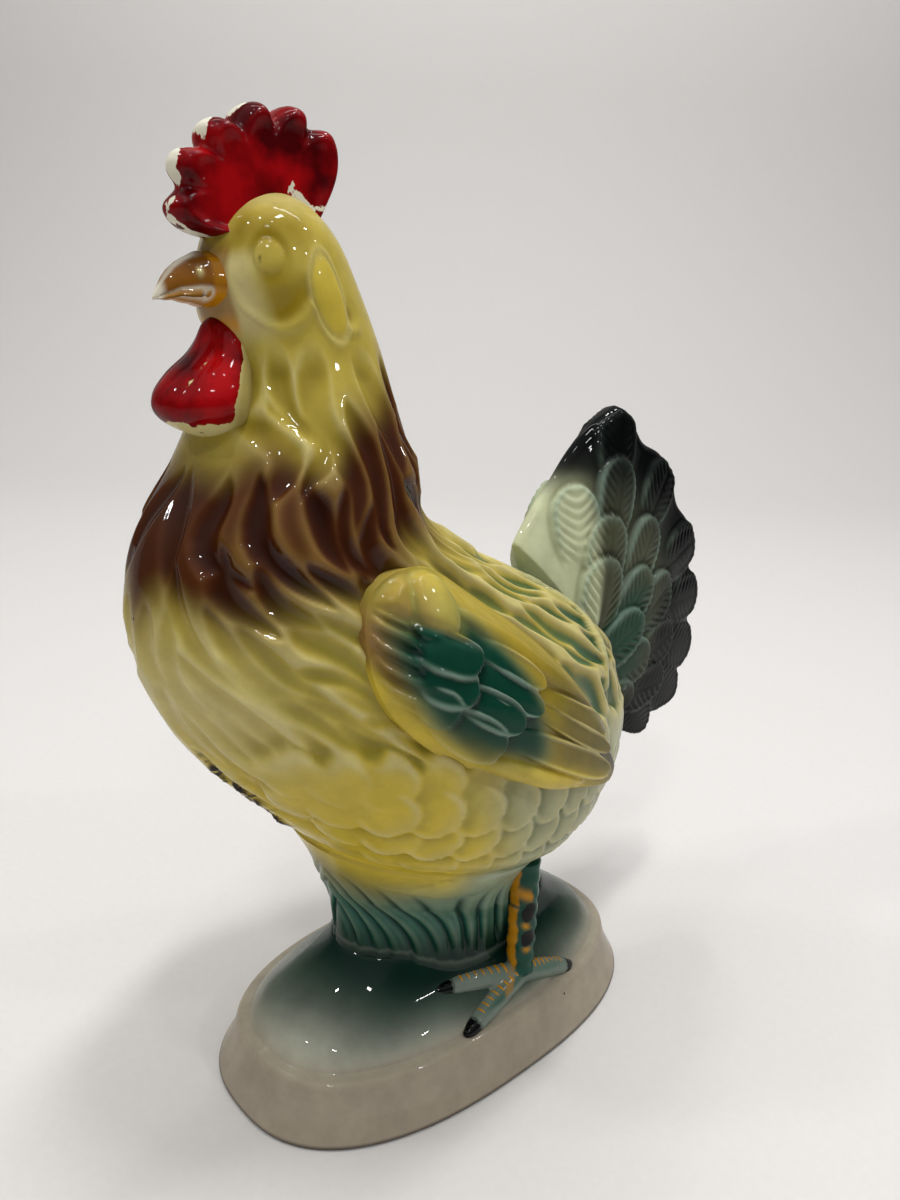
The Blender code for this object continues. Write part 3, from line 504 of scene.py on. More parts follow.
def trail(a, z, length, heading, bend, steps=12):
    """A path that runs down the bird from a place: heading turns it towards the back, bend sways it."""
    side = 1 if a >= 0 else -1
    places = [trunk(a, z)]
    small = 0.01
    for k in range(steps):
        across = np.linalg.norm(trunk(a + small, z) - trunk(a - small, z)) / (2 * small)
        up = np.linalg.norm(trunk(a, z + 0.5) - trunk(a, z - 0.5))
        angle = math.radians(heading(abs(wrapped(a)), z) + bend * math.sin(2 * math.pi * (k + 0.5) / steps))
        a = a + side * math.sin(angle) * length / steps / across
        z = z - math.cos(angle) * length / steps / up
        places.append(trunk(a, z))
    return np.stack(places)


def wrapped(a):
    return (a + math.pi) % (2 * math.pi) - math.pi


def strand_seeds(levels, pitch, low, high):
    """Jittered starting places in staggered rows down the bird's left side."""
    seeds = []
    for row, level in enumerate(levels):
        ring = trunk(np.linspace(low, high, 60), np.full(60, float(level)))
        count = max(int(np.linalg.norm(np.diff(ring, axis=0), axis=1).sum() / pitch), 2)
        for k in range(count):
            share = (k + 0.5 * (row % 2) + 0.25 + RNG.normal(0, 0.14)) / count
            seeds.append((low + (high - low) * share, level + RNG.normal(0, 1.5)))
    return seeds


# Degrees by which each kind of strand turns from straight down towards the back, by turn and height
def hackle_heading(a, z):
    return 6 + 27 * max(math.sin(2 * min(a, 1.5)), 0) ** 0.8 * (1 - 0.5 * ramp(z, 150, 180))


def breast_heading(a, z):
    return 12 + 34 * max(math.sin(1.7 * min(a, 1.8)), 0)


def saddle_heading(a, z):
    return 12 * max(math.sin(2 * (math.pi - max(a, 1.7))), 0)


def belly_heading(a, z):
    return 12


# Depth of each kind of cut: shallower at the middle of the breast, and where the hackle meets the saddle
def hackle_depth(a, z):
    calm = 0.50 + 0.50 * ramp(a, 0.15, 0.60)
    return 2.4 * calm * (1 - 0.25 * ramp(z, 164, 178)) * (1 - ramp(a, 1.7, 2.0) * fade(z, 150, 160))


def breast_depth(a, z):
    return 2.2 * (0.65 + 0.35 * ramp(a, 0.1, 0.5))


def saddle_depth(a, z):
    return 2.2


# Heading and depth of the cuts, levels of their rows, pitch in a row, turns between which a row runs,
# lengths, sway in degrees and half widths
STRANDS = [
    (hackle_heading, hackle_depth, range(188, 114, -13), 8.0, (0.03, 3.0), (22, 36), 26, (2.8, 4.3)),
    (breast_heading, breast_depth, range(128, 84, -13), 9.0, (0.05, 1.9), (26, 40), 24, (3.0, 4.6)),
    (saddle_heading, saddle_depth, range(162, 84, -11), 6.4, (1.75, math.pi), (20, 34), 15, (2.6, 3.5)),
]
# The raised line where the saddle meets the tail: turn round the trunk, height
TAIL_FOOT_LINE = [(2.15, 101.0), (2.36, 110.0), (2.70, 118.0), (2.95, 124.5), (3.10, 131.0)]
TAIL_FOOT_HALF_WIDTH, TAIL_FOOT_RISE = 2.2, 0.9
# The belly's scales: heights of their rows above its foot, where each scale starts above its row,
# and the turn at which a row starts
SCALE_ROWS, SCALE_ROOT, SCALES_IN_ROW, SCALE_START = (9.5, 18.5, 27.5, 36.5), 12, 16, 0.40
SCALE_LENGTH, SCALE_HALF_WIDTH, SCALE_LIFT = 14.5, 7.0, 1.8


def carve_trunk(skin, foot):
    """Cut the hackle, breast and saddle strands, then raise the belly's scales, both sides alike."""
    for heading, depth, levels, pitch, turns, lengths, sway, widths in STRANDS:
        for a, z in strand_seeds(levels, pitch, *turns):
            length, bend, width = RNG.uniform(*lengths), RNG.normal(0, sway), RNG.uniform(*widths)
            for side in (1, -1):
                skin.gouge(trail(side * a, z, length, heading, bend), width, depth(a, z))
    for side in (1, -1):
        skin.lock(np.stack([trunk(side * a, z) for a, z in TAIL_FOOT_LINE]), TAIL_FOOT_HALF_WIDTH,
                  TAIL_FOOT_RISE)
    for row, rise in enumerate(SCALE_ROWS):
        for k in range(SCALES_IN_ROW):
            a = SCALE_START + (math.pi - SCALE_START) * (k + 0.5 * (row % 2) + 0.25) / SCALES_IN_ROW
            z = float(np.interp(a, turn(TRUNK_COLUMNS), foot)) + rise + SCALE_ROOT
            calm = (1 - 0.55 * ramp(rise, 24, 40)) * ramp(a, 0.3, 0.9)
            for side in (1, -1):
                path = trail(side * a, z, SCALE_LENGTH, belly_heading, 0.0, 8)
                skin.feather(path, SCALE_HALF_WIDTH, SCALE_LIFT * calm + 0.05, rim=0.6 * calm)


# Heights between which the hackle's relief runs out, and the face's relief and paint set in
HACKLE_END, FACE_START = (180, 187), (181, 186)
EYE_TURN, EYE_HEIGHT, EYE_RADIUS = 0.97, 201.5, 3.2
LOBE_TURN, LOBE_HEIGHT = 1.58, 195.0
JAW_HEIGHT, BROW_HEIGHT, CROWN_EDGE = 193.0, 208.0, 211.0
# Millimetres round the head in one unit of turn, at the eye
FACE_ROUND = 17.0


def face_relief(a, z):
    """Eye, brow, jaw line and ear lobe, modelled alike on both sides, with their distances for the paint."""
    b = np.abs(wrapped(a))
    eye = np.hypot((b - EYE_TURN) * FACE_ROUND, (z - EYE_HEIGHT) * 1.05)
    height = 0.8 * dome(eye / EYE_RADIUS) + 0.22 * puff(eye, 4.9, 1.5)
    height += 0.8 * puff(z, BROW_HEIGHT, 3.0) * puff(b, 1.0, 0.5)
    height -= 0.7 * puff(z, 203.5, 3.5) * puff(b, 0.45, 0.22)
    lobe = np.hypot((b - LOBE_TURN - 0.008 * (z - LOBE_HEIGHT)) / 0.20, (z - LOBE_HEIGHT) / 7.5)
    height += dome(lobe) + 0.35 * puff(lobe, 1.14, 0.12)
    arc = np.abs(np.sin(math.pi * (b - 0.50) / 0.82))
    jaw = z - (JAW_HEIGHT - 4.2 * arc)
    reach = ramp(b, 0.42, 0.66) * fade(b, 1.80, 2.0) * ramp(lobe, 1.0, 1.2)
    height += 0.6 * puff(jaw, 0, 1.0) * reach
    height -= 0.45 * puff(jaw, 3.2, 2.2) * reach * fade(1.05 - lobe, 0, 0.1)
    return height, eye, lobe, jaw, reach


# The brown collar: turn round the bird, heights of its foot and top
COLLAR_TURNS = [0.0, 0.45, 0.95, 1.40, 2.10, math.pi]
COLLAR_FEET = [133.0, 135.0, 138.0, 144.0, 148.0, 150.0]
COLLAR_TOPS = [161.0, 165.0, 168.0, 175.0, 180.0, 180.0]


def evenly_open(rows, count):
    """Places at even steps along a line of numbers."""
    rows = np.asarray(rows, float)
    at = np.linspace(0, len(rows) - 1, count)
    return [tuple(np.interp(v, np.arange(len(rows)), rows[:, k]) for k in range(rows.shape[1])) for v in at]


def paint_trunk(a, z, skin, height, foot):
    """Airbrush the slip colours: straw, a brown collar, green flanks and a pale rear; pale ridges are partly
    painted highlight.
    """
    b = np.abs(wrapped(a))
    y = skin.points[..., 1]
    ridge, groove = carved(height, 0.45, 0.55)
    wander = 3 * np.sin(3.1 * b + 0.6) + 2.5 * np.sin(7.3 * b + z * 0.09)
    coat = Coat("straw", skin.points)
    coat.spray("gold", 0.55 * ramp(z, 160, 172) * fade(z, 184, 191) * (0.30 + 0.70 * groove))
    coat.spray("lemon", 0.80 * fade(z, 92, 118) * fade(b, 1.0, 1.35))
    coat.spray("cream", 0.60 * puff(z, 116, 14) * fade(b, 0.5, 0.9))
    top = np.interp(b, COLLAR_TURNS, COLLAR_TOPS) + wander
    bottom = np.interp(b, COLLAR_TURNS, COLLAR_FEET) + wander
    band = ramp(z, bottom - 10, bottom + 6) * fade(z, top - 9, top + 5)
    # Russet thins on the collar's ridges: partly glaze colour, partly a painted highlight
    coat.spray("russet", 0.97 * band * (1 - 0.12 * ridge * ramp(b, 0.4, 0.8)))
    coat.spray("brown", 0.85 * ramp(band, 0.3, 1.0) * (1 - ridge) * (0.40 + 0.60 * groove))
    coat.spray("umber", 0.70 * ramp(band, 0.5, 1.0) * groove)
    # Tan on the collar's ridges: pale ridge lines of the glaze, partly a painted highlight
    coat.spray("tan", 0.25 * band * ridge * ramp(b, 0.5, 0.9))
    coat.spray("olive", 0.55 * groove * ramp(z, 160, 168) * fade(z, 182, 188) * (1 - band))
    streak = ramp(b, 1.6, 2.0) * ramp(z, 126, 140) * (1 - band)
    coat.spray("russet", 0.75 * streak * ramp(groove, 0.2, 0.8))
    flank = ramp(y, -30, 0) * ramp(z, 84, 100) * ramp(b, 1.5, 1.8)
    coat.spray("moss", 0.75 * flank * ramp(groove, 0.1, 0.7))
    near_tail = ramp(y, 2, 26) * ramp(z, 84, 100) * ramp(b, 1.6, 2.0)
    coat.spray("teal", 0.75 * near_tail * np.clip(0.25 + groove - 0.4 * ridge, 0, 1))
    coat.spray("green", 0.90 * ramp(y, 14, 34) * near_tail * np.clip(0.25 + groove, 0, 1))
    low = z - foot[None, :]
    rear = ramp(b, 1.05, 1.40) * fade(z, 86, 102)
    coat.spray("pale", 0.75 * rear)
    coat.spray("sage", 0.45 * fade(low, 6, 22) * ramp(b, 0.8, 1.3))
    hem = fade(low, 8, 16)
    coat.spray("lemon", 0.95 * hem * fade(b, 0.85, 1.25))
    coat.spray("pale", 0.90 * hem * ramp(b, 0.85, 1.25))
    coat.spray("olive", 0.70 * groove * rear)
    shade = groove * (1 - band) * ramp(b, 0.45, 1.0) * fade(z, 136, 158)
    coat.spray("moss", 0.50 * shade)
    coat.spray("gold", 0.50 * groove * fade(b, 0.9, 1.5) * (1 - band))
    # Cream on the ridges outside the collar: pale ridge lines of the glaze, partly a painted highlight
    coat.spray("cream", 0.60 * ridge * (1 - band) * fade(z, 184, 190))
    foot_line = np.min([np.linalg.norm(skin.points - trunk(side * at, rise), axis=-1)
                        for side in (1, -1) for at, rise in evenly_open(TAIL_FOOT_LINE, 40)], axis=0)
    coat.spray("mist", 0.40 * fade(foot_line, 0.8, 2.2))
    return coat


SCAR_TURN, SCAR_LOW, SCAR_HIGH = 0.10, 76.0, 103.0


def seam_scar(a, z):
    """Rough chips along the mould seam under the breast."""
    ragged = 0.7 + 0.5 * np.sin(2.1 * z) * np.sin(1.3 * z + 1) + 0.3 * np.sin(5.3 * z)
    along = ramp(z, SCAR_LOW, SCAR_LOW + 3) * fade(z, SCAR_HIGH - 4, SCAR_HIGH)
    return puff((wrapped(a) - SCAR_TURN) * 40, 0, 2.4 * np.clip(ragged, 0.25, 2)) * along


def paint_face(coat, z, b, eye, lobe, jaw, reach):
    """Golden cheek and brow, a pale front, lobes with a cream rim, ochre and amber round the beak, and a
    painted highlight near the crown.
    """
    on_head = ramp(z, *FACE_START)
    cheek = ramp(jaw, 0, 2.5) * fade(z, 194, 201) * reach * ramp(b, 0.75, 0.95) * fade(b, 1.3, 1.5)
    brow = puff(z, BROW_HEIGHT - 1, 3.5) * ramp(b, 0.35, 0.6) * fade(b, 1.3, 1.9)
    front = fade(b, 0.60, 0.95) * ramp(z, 184, 190) * fade(z, 200, 204)
    speck = np.hypot((b - EYE_TURN + 0.10) * FACE_ROUND, z - EYE_HEIGHT + 0.6)
    coat.spray("gold", on_head * (0.80 * cheek + 0.65 * brow + 0.35 * puff(eye, 4.0, 1.0)))
    coat.spray("cream", 0.75 * on_head * front)
    coat.spray("lemon", 0.50 * on_head * fade(lobe, 0.8, 1.0))
    # Cream rims the ear lobes; the cream band near the crown is a painted highlight
    coat.spray("cream", 0.45 * on_head * (0.6 * puff(lobe, 1.1, 0.14) + puff(z, 213, 3)))
    coat.spray("ochre", 0.9 * fade(b, 0.38, 0.48) * puff(z, 189.5, 2.0))
    coat.spray("amber", 0.7 * ramp(0.5 - b, 0, 0.12) * ramp(z, 189, 192) * fade(z, 202, 206))
    coat.spray("scar", 0.6 * ramp(0.55 - speck, 0, 0.3))


def make_trunk(glaze):
    """Carve and paint the trunk's skin, then part it into body, neck and head."""
    a, z, foot = trunk_grid()
    skin = Skin(trunk(a, z))
    carve_trunk(skin, foot)
    face, *features = face_relief(a, z)
    height = skin.relief() * fade(z, *HACKLE_END)
    height += face * ramp(z, *FACE_START) * fade(z, CROWN_EDGE, CROWN_EDGE + 3)
    low = z - foot[None, :]
    height = height * ramp(low, 8, 15) - 0.8 * fade(low, 0, 7)
    coat = paint_trunk(a, z, skin, height, foot)
    paint_face(coat, z, np.abs(wrapped(a)), *features)
    scar = seam_scar(a, z)
    chips = soften(RNG.normal(0, 1, z.shape), 3)
    coat.spray("scar", 2.0 * scar * ramp(chips, -0.3, 0.1))
    points = skin.raised(height + scar * (0.1 + 1.8 * chips))
    shading = surface_normals(points)
    top = BODY_ROWS + NECK_ROWS
    crown = np.array([0.0, points[-1].mean(0)[1], CROWN])
    for name, node, slot, first, last, end in (
            ("feathered_body", "body", "yellow_glaze", 0, BODY_ROWS, None),
            ("hackled_neck", "neck", "brown_glaze", BODY_ROWS, top, None),
            ("bare_faced_head", "head", "yellow_glaze", top, len(points) - 1, crown)):
        part = slice(first, last + 1)
        piece = make_piece(name, points[part], coat.colours[part], crown=end, shading=shading[part])
        dress(piece, glaze, slot, node)


# Plinth and pedestal
PLINTH_SQUARENESS = 2.5
PLINTH_COLUMNS, BAND_RINGS, ROLL_RINGS, MOUND_RINGS = 400, 22, 9, 70
SHOULDER_INSET = 7.75
MOUND_STEEPNESS = 3.4
# The band leans in as it rises from its rounded foot to the roll under the mound
BAND_FOOT, BAND_ROLL, BAND_LEAN = 0.8, 12.2, 4.6
# Height and spread of the rise round the tuft: a broad one and a steep one
BED_RISES = [(3.0, 9.0), (6.0, 3.5)]
# Level up its wall at which the tuft's outline meets the mound
TUFT_FOOT = 0.50


def oblong(a, inset, share=1.0):
    c, s = np.sin(a), -np.cos(a)
    x = np.sign(c) * np.abs(c) ** (2 / PLINTH_SQUARENESS) * (PLINTH_HALF_WIDTH - inset) * share
    y = np.sign(s) * np.abs(s) ** (2 / PLINTH_SQUARENESS) * (PLINTH_HALF_LENGTH - inset) * share
    return x, y


def mound_height(share):
    return PLINTH_BAND + (MOUND_TOP - PLINTH_BAND) * (1 - share ** MOUND_STEEPNESS)


def on_mound(x, y):
    across = np.abs(x / (PLINTH_HALF_WIDTH - SHOULDER_INSET)) ** PLINTH_SQUARENESS
    along = np.abs(y / (PLINTH_HALF_LENGTH - SHOULDER_INSET)) ** PLINTH_SQUARENESS
    return mound_height(np.clip((across + along) ** (1 / PLINTH_SQUARENESS), 0, 1))


def beyond_tuft(x, y):
    """Distance outside the pedestal's foot, in plan."""
    front, back, width = (v[0] for v in smooth_through(PEDESTAL_PROFILE, np.array([TUFT_FOOT])))
    half_length = (front * PEDESTAL_FRONT + back * PEDESTAL_BACK) / 2
    middle = back * PEDESTAL_BACK - half_length
    half_width = width * PEDESTAL_WIDTH / 2
    share = np.hypot(x / half_width, (y - middle) / half_length)
    return (share - 1) * half_width


def bed_height(x, y):
    """The mound with the low rise that runs up to the tuft, less beside the legs."""
    drift = 1 - 0.75 * ramp(np.abs(x), 13, 21)
    away = np.clip(beyond_tuft(x, y), 0, None)
    return on_mound(x, y) + drift * sum(rise * np.exp(-away / spread) for rise, spread in BED_RISES)


def paint_bed(coat, x, y, weight):
    """Green that pools round the tuft's foot and thins out towards the plinth's edge."""
    tuft = beyond_tuft(x, y) + 2.5 * np.sin(0.13 * x + 0.4) * np.sin(0.11 * y + 1.0)
    coat.spray("lichen", 0.85 * weight)
    coat.spray("pine", 0.80 * weight * fade(tuft, 6, 19))
    coat.spray("green", 0.70 * weight * fade(tuft, 1, 12))
    coat.spray("deep_green", 0.90 * weight * fade(tuft, 0, 8))


def make_plinth(glaze):
    """Rings from the unglazed foot up the leaning band and in over the mound."""
    a = turn(PLINTH_COLUMNS)
    profile = [(2.4, 0.0), (1.0, 0.0), (0.3, 0.25), (0.0, BAND_FOOT)]
    for t in np.linspace(0.06, 1, BAND_RINGS):
        inset = BAND_LEAN * t + 0.5 * math.sin(math.pi * t)
        profile.append((inset, BAND_FOOT + (BAND_ROLL - BAND_FOOT) * t))
    for bend in np.linspace(0.12, 1, ROLL_RINGS) * math.pi / 2:
        inset = BAND_LEAN + (SHOULDER_INSET - BAND_LEAN) * (1 - math.cos(bend))
        profile.append((inset, BAND_ROLL + (PLINTH_BAND - BAND_ROLL) * math.sin(bend)))
    rings = [np.stack([*oblong(a, inset), np.full_like(a, z)], -1) for inset, z in profile]
    for share in 1 - 0.9 * np.linspace(0.004, 1, MOUND_RINGS) ** 1.3:
        rings.append(np.stack([*oblong(a, SHOULDER_INSET, share), np.full_like(a, mound_height(share))], -1))
    points = np.stack(rings)
    x, y, z = np.moveaxis(points, -1, 0)
    on_top = ramp(z, 15.5, 18)
    seam = 0.4 * puff(x, 0, 0.9) * (y < 0) * ramp(z, 1, 4) * (1 - on_top) - 0.4 * puff(z, 15.0, 0.5)
    wobble = 0.2 * np.sin(x * 0.21 + 1) * np.sin(y * 0.17) * on_top
    points = points + surface_normals(points) * (seam + wobble)[..., None]
    points[..., 2] += on_top * (bed_height(x, y) - on_mound(x, y))
    coat = Coat("putty", points)
    paint_bed(coat, x, y, ramp(z, 13.5, 18.5))
    coat.spray("foot", 0.9 * fade(z, 0.5, 1.5))
    dress(make_piece("mound_plinth", points, coat.colours), glaze, "putty_glaze", "plinth")


def pedestal(a, share):
    front, back, width = smooth_through(PEDESTAL_PROFILE, share)
    front, back, half_width = front * PEDESTAL_FRONT, back * PEDESTAL_BACK, width * PEDESTAL_WIDTH / 2
    along = -np.cos(a)
    y = (back - front) / 2 + (back + front) / 2 * along
    return np.stack([half_width * np.sin(a), y, PLINTH_BAND + share * (crease(y) - PLINTH_BAND)], -1)


# Share of the tuft's height at which its wall bends into the fillet, and the fillet's run above the crease
TUFT_WALL, FILLET_RISE = 0.82, 11.0
TUFT_GROOVES, TUFT_COLUMNS, TUFT_RINGS, FILLET_RINGS = 24, 480, 80, 40


def tuft_rings(a):
    """Rings up the tuft's wall, then up a fillet that clings to the belly and ends inside it."""
    foot = belly_foot(a)
    wall = np.linspace(0, TUFT_WALL, TUFT_RINGS)[:, None]
    rings = pedestal(a + 0 * wall, wall + 0 * a)
    start, corner, end = rings[-1], trunk(a[0], foot[0]), trunk(a[0], foot[0] + FILLET_RISE)
    t = np.linspace(0, 1, FILLET_RINGS + 1)[1:, None, None]
    fillet = (1 - t) ** 2 * start + 2 * t * (1 - t) * corner + t ** 2 * end
    middle = (trunk(0 * a, fillet[..., 2]) + trunk(0 * a + math.pi, fillet[..., 2])) / 2
    belly = trunk(a, np.maximum(fillet[..., 2], foot)) - middle
    spare = np.linalg.norm((fillet - middle)[..., :2], axis=-1) / np.linalg.norm(belly[..., :2], axis=-1)
    t = t[..., 0]
    cling = 1.010 - 0.030 * ramp(t, 0.78, 1.0)
    hug = (spare < cling) & (fillet[..., 2] > foot) | (t > 0.85)
    swell = np.stack([cling + 0 * a, cling + 0 * a, np.ones(spare.shape)], -1)
    fillet = np.where(hug[..., None], middle + belly * swell, fillet)
    return np.concatenate([rings, fillet]), np.concatenate([wall, TUFT_WALL + 0.4 * t]) + 0 * a


def tuft_relief(share, b):
    """Grooves of uneven pitch that swoop forward as they rise, alike on both sides."""
    turns = np.linspace(0, math.pi, 200)
    waist = pedestal(turns, np.full(200, 0.6))
    run = np.concatenate([[0], np.cumsum(np.linalg.norm(np.diff(waist, axis=0), axis=1))])
    around_tuft = np.interp(b, turns, run)
    swoop = around_tuft + 17 * ramp(share, 0.40, 1.15) ** 1.4 * fade(around_tuft, 12, 46)
    height = np.zeros_like(b)
    for n, place in enumerate(np.cumsum(RNG.uniform(3.8, 7.0, TUFT_GROOVES))):
        sway = 0.5 * np.sin(4 * share + n)
        height -= RNG.uniform(0.4, 1.0) * puff(swoop + sway, place, RNG.uniform(0.6, 1.1))
        height += 0.25 * puff(swoop + sway, place + 1.9, 0.9)
    return height * (ramp(share, 0.30, 0.55) * fade(share, TUFT_WALL + 0.06, TUFT_WALL + 0.22))


def make_pedestal(glaze):
    """The tuft's grooved wall, then a fillet that runs out on the belly above the crease."""
    a = turn(TUFT_COLUMNS)[None]
    points, share = tuft_rings(a)
    b = np.abs(wrapped(a)) + 0 * share
    height = tuft_relief(share, b)
    ridge, groove = carved(height, 0.3, 0.4)
    points = points + surface_normals(points) * height[..., None]
    belly_edge, front = ramp(share, 0.92, 1.18), fade(b, 0.85, 1.25)
    coat = Coat("teal", points)
    coat.spray("sage", 0.80 * ramp(share, 0.70, 1.00))
    coat.spray("gold", 0.60 * ramp(share, 0.74, 1.00) * fade(b, 0.40, 0.95))
    coat.spray("lemon", 0.95 * belly_edge * front)
    coat.spray("pale", 0.90 * belly_edge * ramp(b, 0.85, 1.25))
    coat.spray("green", 0.85 * fade(share, 0.45, 0.88))
    coat.spray("deep_green", 0.95 * fade(share, 0.35, 0.70))
    coat.spray("deep_green", 0.80 * groove * (1 - 0.6 * ramp(share, 0.8, 1.1)))
    coat.spray("sage", 0.40 * ridge * ramp(share, 0.4, 0.7))
    x, y, z = np.moveaxis(points, -1, 0)
    paint_bed(coat, x, y, fade(z - bed_height(x, y), 0.5, 3.0))
    dress(make_piece("grooved_pedestal", points, coat.colours), glaze, "green_glaze", "pedestal")


# Flat-sided pieces: an outline in the side view, drawn in ring by ring
def closed_curve(points, per_span):
    points = np.asarray(points, float)
    a, b, c, d = (np.roll(points, n, 0)[:, None] for n in (1, 0, -1, -2))
    t = (np.arange(per_span) / per_span)[None, :, None]
    square, cube = 2 * a - 5 * b + 4 * c - d, 3 * b - a - 3 * c + d
    return (0.5 * (2 * b + (c - a) * t + square * t ** 2 + cube * t ** 3)).reshape(-1, 2)


def evenly(outline, count):
    """The same closed outline with its points at even distances."""
    loop = np.concatenate([outline, outline[:1]])
    run = np.concatenate([[0], np.cumsum(np.linalg.norm(np.diff(loop, axis=0), axis=1))])
    at = np.linspace(0, run[-1], count, endpoint=False)
    return np.stack([np.interp(at, run, loop[:, k]) for k in (0, 1)], -1)


def rounded_rim(share):
    """Thickness near a rim: a quarter round, not quite closed at 0, and full from 1."""
    return np.sqrt(1 - np.clip(1 - share, 0.0, 0.9995) ** 2)


def around(centre, degrees, reach):
    angle = np.radians(degrees)
    return np.stack([centre[0] + reach * np.cos(angle), centre[1] + reach * np.sin(angle)], -1)


WING_LENGTH, WING_DEPTH, WING_DROOP, WING_FRONT = 78.0, 36.7, 33.9, 50.0
WING_FRONT_HEIGHT = CREASE_HEIGHT + 0.82 * BODY_HEIGHT
WING_THICKNESS, WING_EDGE, WING_LIFT, WING_SINK = 4.8, 2.4, 3.2, 6.0
WING_COLUMNS, WING_RINGS = 380, 90
WING_OUTLINE = [
    (-0.02, 0.02), (0.04, 0.34), (0.19, 0.58), (0.37, 0.60), (0.59, 0.57), (0.79, 0.45), (0.97, 0.27),
    (1.00, -0.06), (0.74, -0.27), (0.54, -0.38), (0.30, -0.50), (0.12, -0.48), (0.01, -0.33),
]
# Shares on the wing: root, tip, half width as a share of the depth, share of the lift
WING_FEATHERS = [
    ((0.47, 0.22), (0.88, 0.24), 0.070, 0.50), ((0.46, 0.09), (0.87, 0.12), 0.070, 0.50),
    ((0.33, -0.17), (0.88, -0.03), 0.105, 0.50), ((0.08, -0.30), (0.33, -0.26), 0.15, 0.60),
    ((0.22, 0.12), (0.47, 0.09), 0.10, 0.65), ((0.16, -0.08), (0.39, -0.06), 0.12, 0.75),
    ((0.25, 0.28), (0.49, 0.25), 0.085, 0.70), ((0.05, -0.20), (0.17, -0.22), 0.12, 0.80),
    ((0.06, -0.07), (0.23, -0.04), 0.13, 0.90), ((0.07, 0.10), (0.25, 0.14), 0.13, 1.00),
]
# Round knobs of the shoulder: place, and radius as a share of the depth
WING_SHOULDERS = [((0.050, 0.28), 0.16), ((0.155, 0.335), 0.16)]
# The groove under the shoulder: its share across the wing at the front, and its climb along it
SHOULDER_LINE, SHOULDER_CLIMB = 0.165, 0.35
# The raised lower edge and the ridge along the top, as shares along and across
WING_RIDGES = [
    [(-0.01, -0.26), (0.04, -0.38), (0.12, -0.44), (0.27, -0.43), (0.55, -0.30), (0.97, -0.07)],
    [(0.24, 0.42), (0.36, 0.42), (0.50, 0.37), (0.86, 0.33)],
]


def wing_place(shares):
    """Places in the side view, from shares along and across the drooping wing."""
    shares = np.asarray(shares, float)
    behind = shares[..., 0] * WING_LENGTH
    fall = math.tan(math.radians(WING_DROOP))
    height = WING_FRONT_HEIGHT - fall * behind + shares[..., 1] * WING_DEPTH
    return np.stack([behind - WING_FRONT, height], -1)


def on_wing(shares):
    """Places on the wing's face, where its feathers and ridges are laid."""
    back, up = wing_place(shares).T
    return np.stack([trunk_side(back, up) + WING_THICKNESS, back, up], -1)


def wing_relief(skin, along, across):
    """Feathers, ridges and shoulder knobs, then a ribbed panel and two grooves at the leading edge."""
    y, z = skin.points[..., 1], skin.points[..., 2]
    for root, tip, half_width, lift in WING_FEATHERS:
        skin.feather(on_wing(np.linspace(root, tip, 8)), half_width * WING_DEPTH, lift * WING_LIFT, rim=0.7)
    for line in WING_RIDGES:
        skin.lock(on_wing(line), 3.2, 2.2)
    knobs = np.zeros_like(y)
    for place, radius in WING_SHOULDERS:
        knob = wing_place(place)
        away = np.hypot(y - knob[0], 0.8 * (z - knob[1])) / (radius * WING_DEPTH)
        knobs = np.maximum(knobs, WING_LIFT * dome(away))
    height = soften(np.maximum(skin.relief(), knobs))
    panel = ramp(along, -0.04, 0.0) * fade(along, 0.07, 0.11)
    panel = panel * ramp(across, -0.33, -0.28) * fade(across, 0.12, 0.16)
    height = height * (1 - panel) + panel * (1.3 + 0.8 * np.cos(2 * math.pi * (across + 0.02) / 0.105))
    height -= 1.3 * puff(across, SHOULDER_LINE + SHOULDER_CLIMB * along, 0.030) * fade(along, 0.20, 0.26)
    height -= 1.2 * puff(along, 0.102, 0.018) * ramp(across, 0.18, 0.24)
    return height


def paint_wing(points, along, across, height, rim, hem):
    """Straw and gold with a green patch behind the shoulder, smoky tips and a lemon lower ridge; pale feather
    rims are partly painted highlight.
    """
    ridge, groove = carved(height, 0.5, 0.6)
    lower = puff(across, np.interp(along, *zip(*WING_RIDGES[0])), 0.09)
    body = np.hypot((along - 0.27) / 0.235, (across + 0.02 + 0.35 * (along - 0.27)) / 0.40)
    shoulder = ramp(across - SHOULDER_LINE - SHOULDER_CLIMB * along, -0.03, 0.02) * fade(along, 0.20, 0.27)
    green = fade(body, 0.75, 1.12) * (1 - shoulder)
    tip = ramp(along, 0.62, 0.92)
    coat = Coat("straw", points)
    coat.spray("gold", 0.55 * ramp(along, 0.1, 0.4) + 0.3 * groove)
    coat.spray("russet", 0.65 * fade(along, 0.05, 0.14) * ramp(across, -0.30, -0.15))
    coat.spray("tan", 0.60 * fade(along, 0.08, 0.17) * ramp(across, -0.25, 0.0))
    coat.spray("teal", 0.75 * fade(body, 0.8, 1.3) * (1 - 0.7 * shoulder))
    coat.spray("russet", 0.45 * shoulder * fade(along, 0.02, 0.09))
    coat.spray("moss", 0.50 * shoulder * np.clip(groove + ramp(along, 0.16, 0.24), 0, 1))
    coat.spray("green", 0.97 * green)
    coat.spray("deep_green", 0.80 * ramp(green, 0.4, 1.0) * np.clip(groove + 0.3, 0, 1))
    coat.spray("olive", 0.60 * ramp(along, 0.42, 0.62) * (1 - ridge) * ramp(across, -0.3, -0.1))
    coat.spray("olive", 0.65 * tip)
    coat.spray("slate", 0.65 * ramp(along, 0.80, 0.97))
    # Pale lines on the feathers' rims, mist on the green and cream elsewhere: partly glaze colour, partly a
    # painted highlight
    coat.spray("mist", 0.80 * rim * np.clip(green * 1.4, 0, 1))
    coat.spray("cream", 0.55 * rim * (1 - green) * ramp(along, 0.3, 0.5))
    coat.spray("lemon", 0.85 * lower * (1 - 0.6 * tip))
    coat.spray("cream", 0.45 * lower * ridge)
    coat.spray("straw", 0.55 * hem * ramp(across, 0.0, 0.2))
    return coat.colours


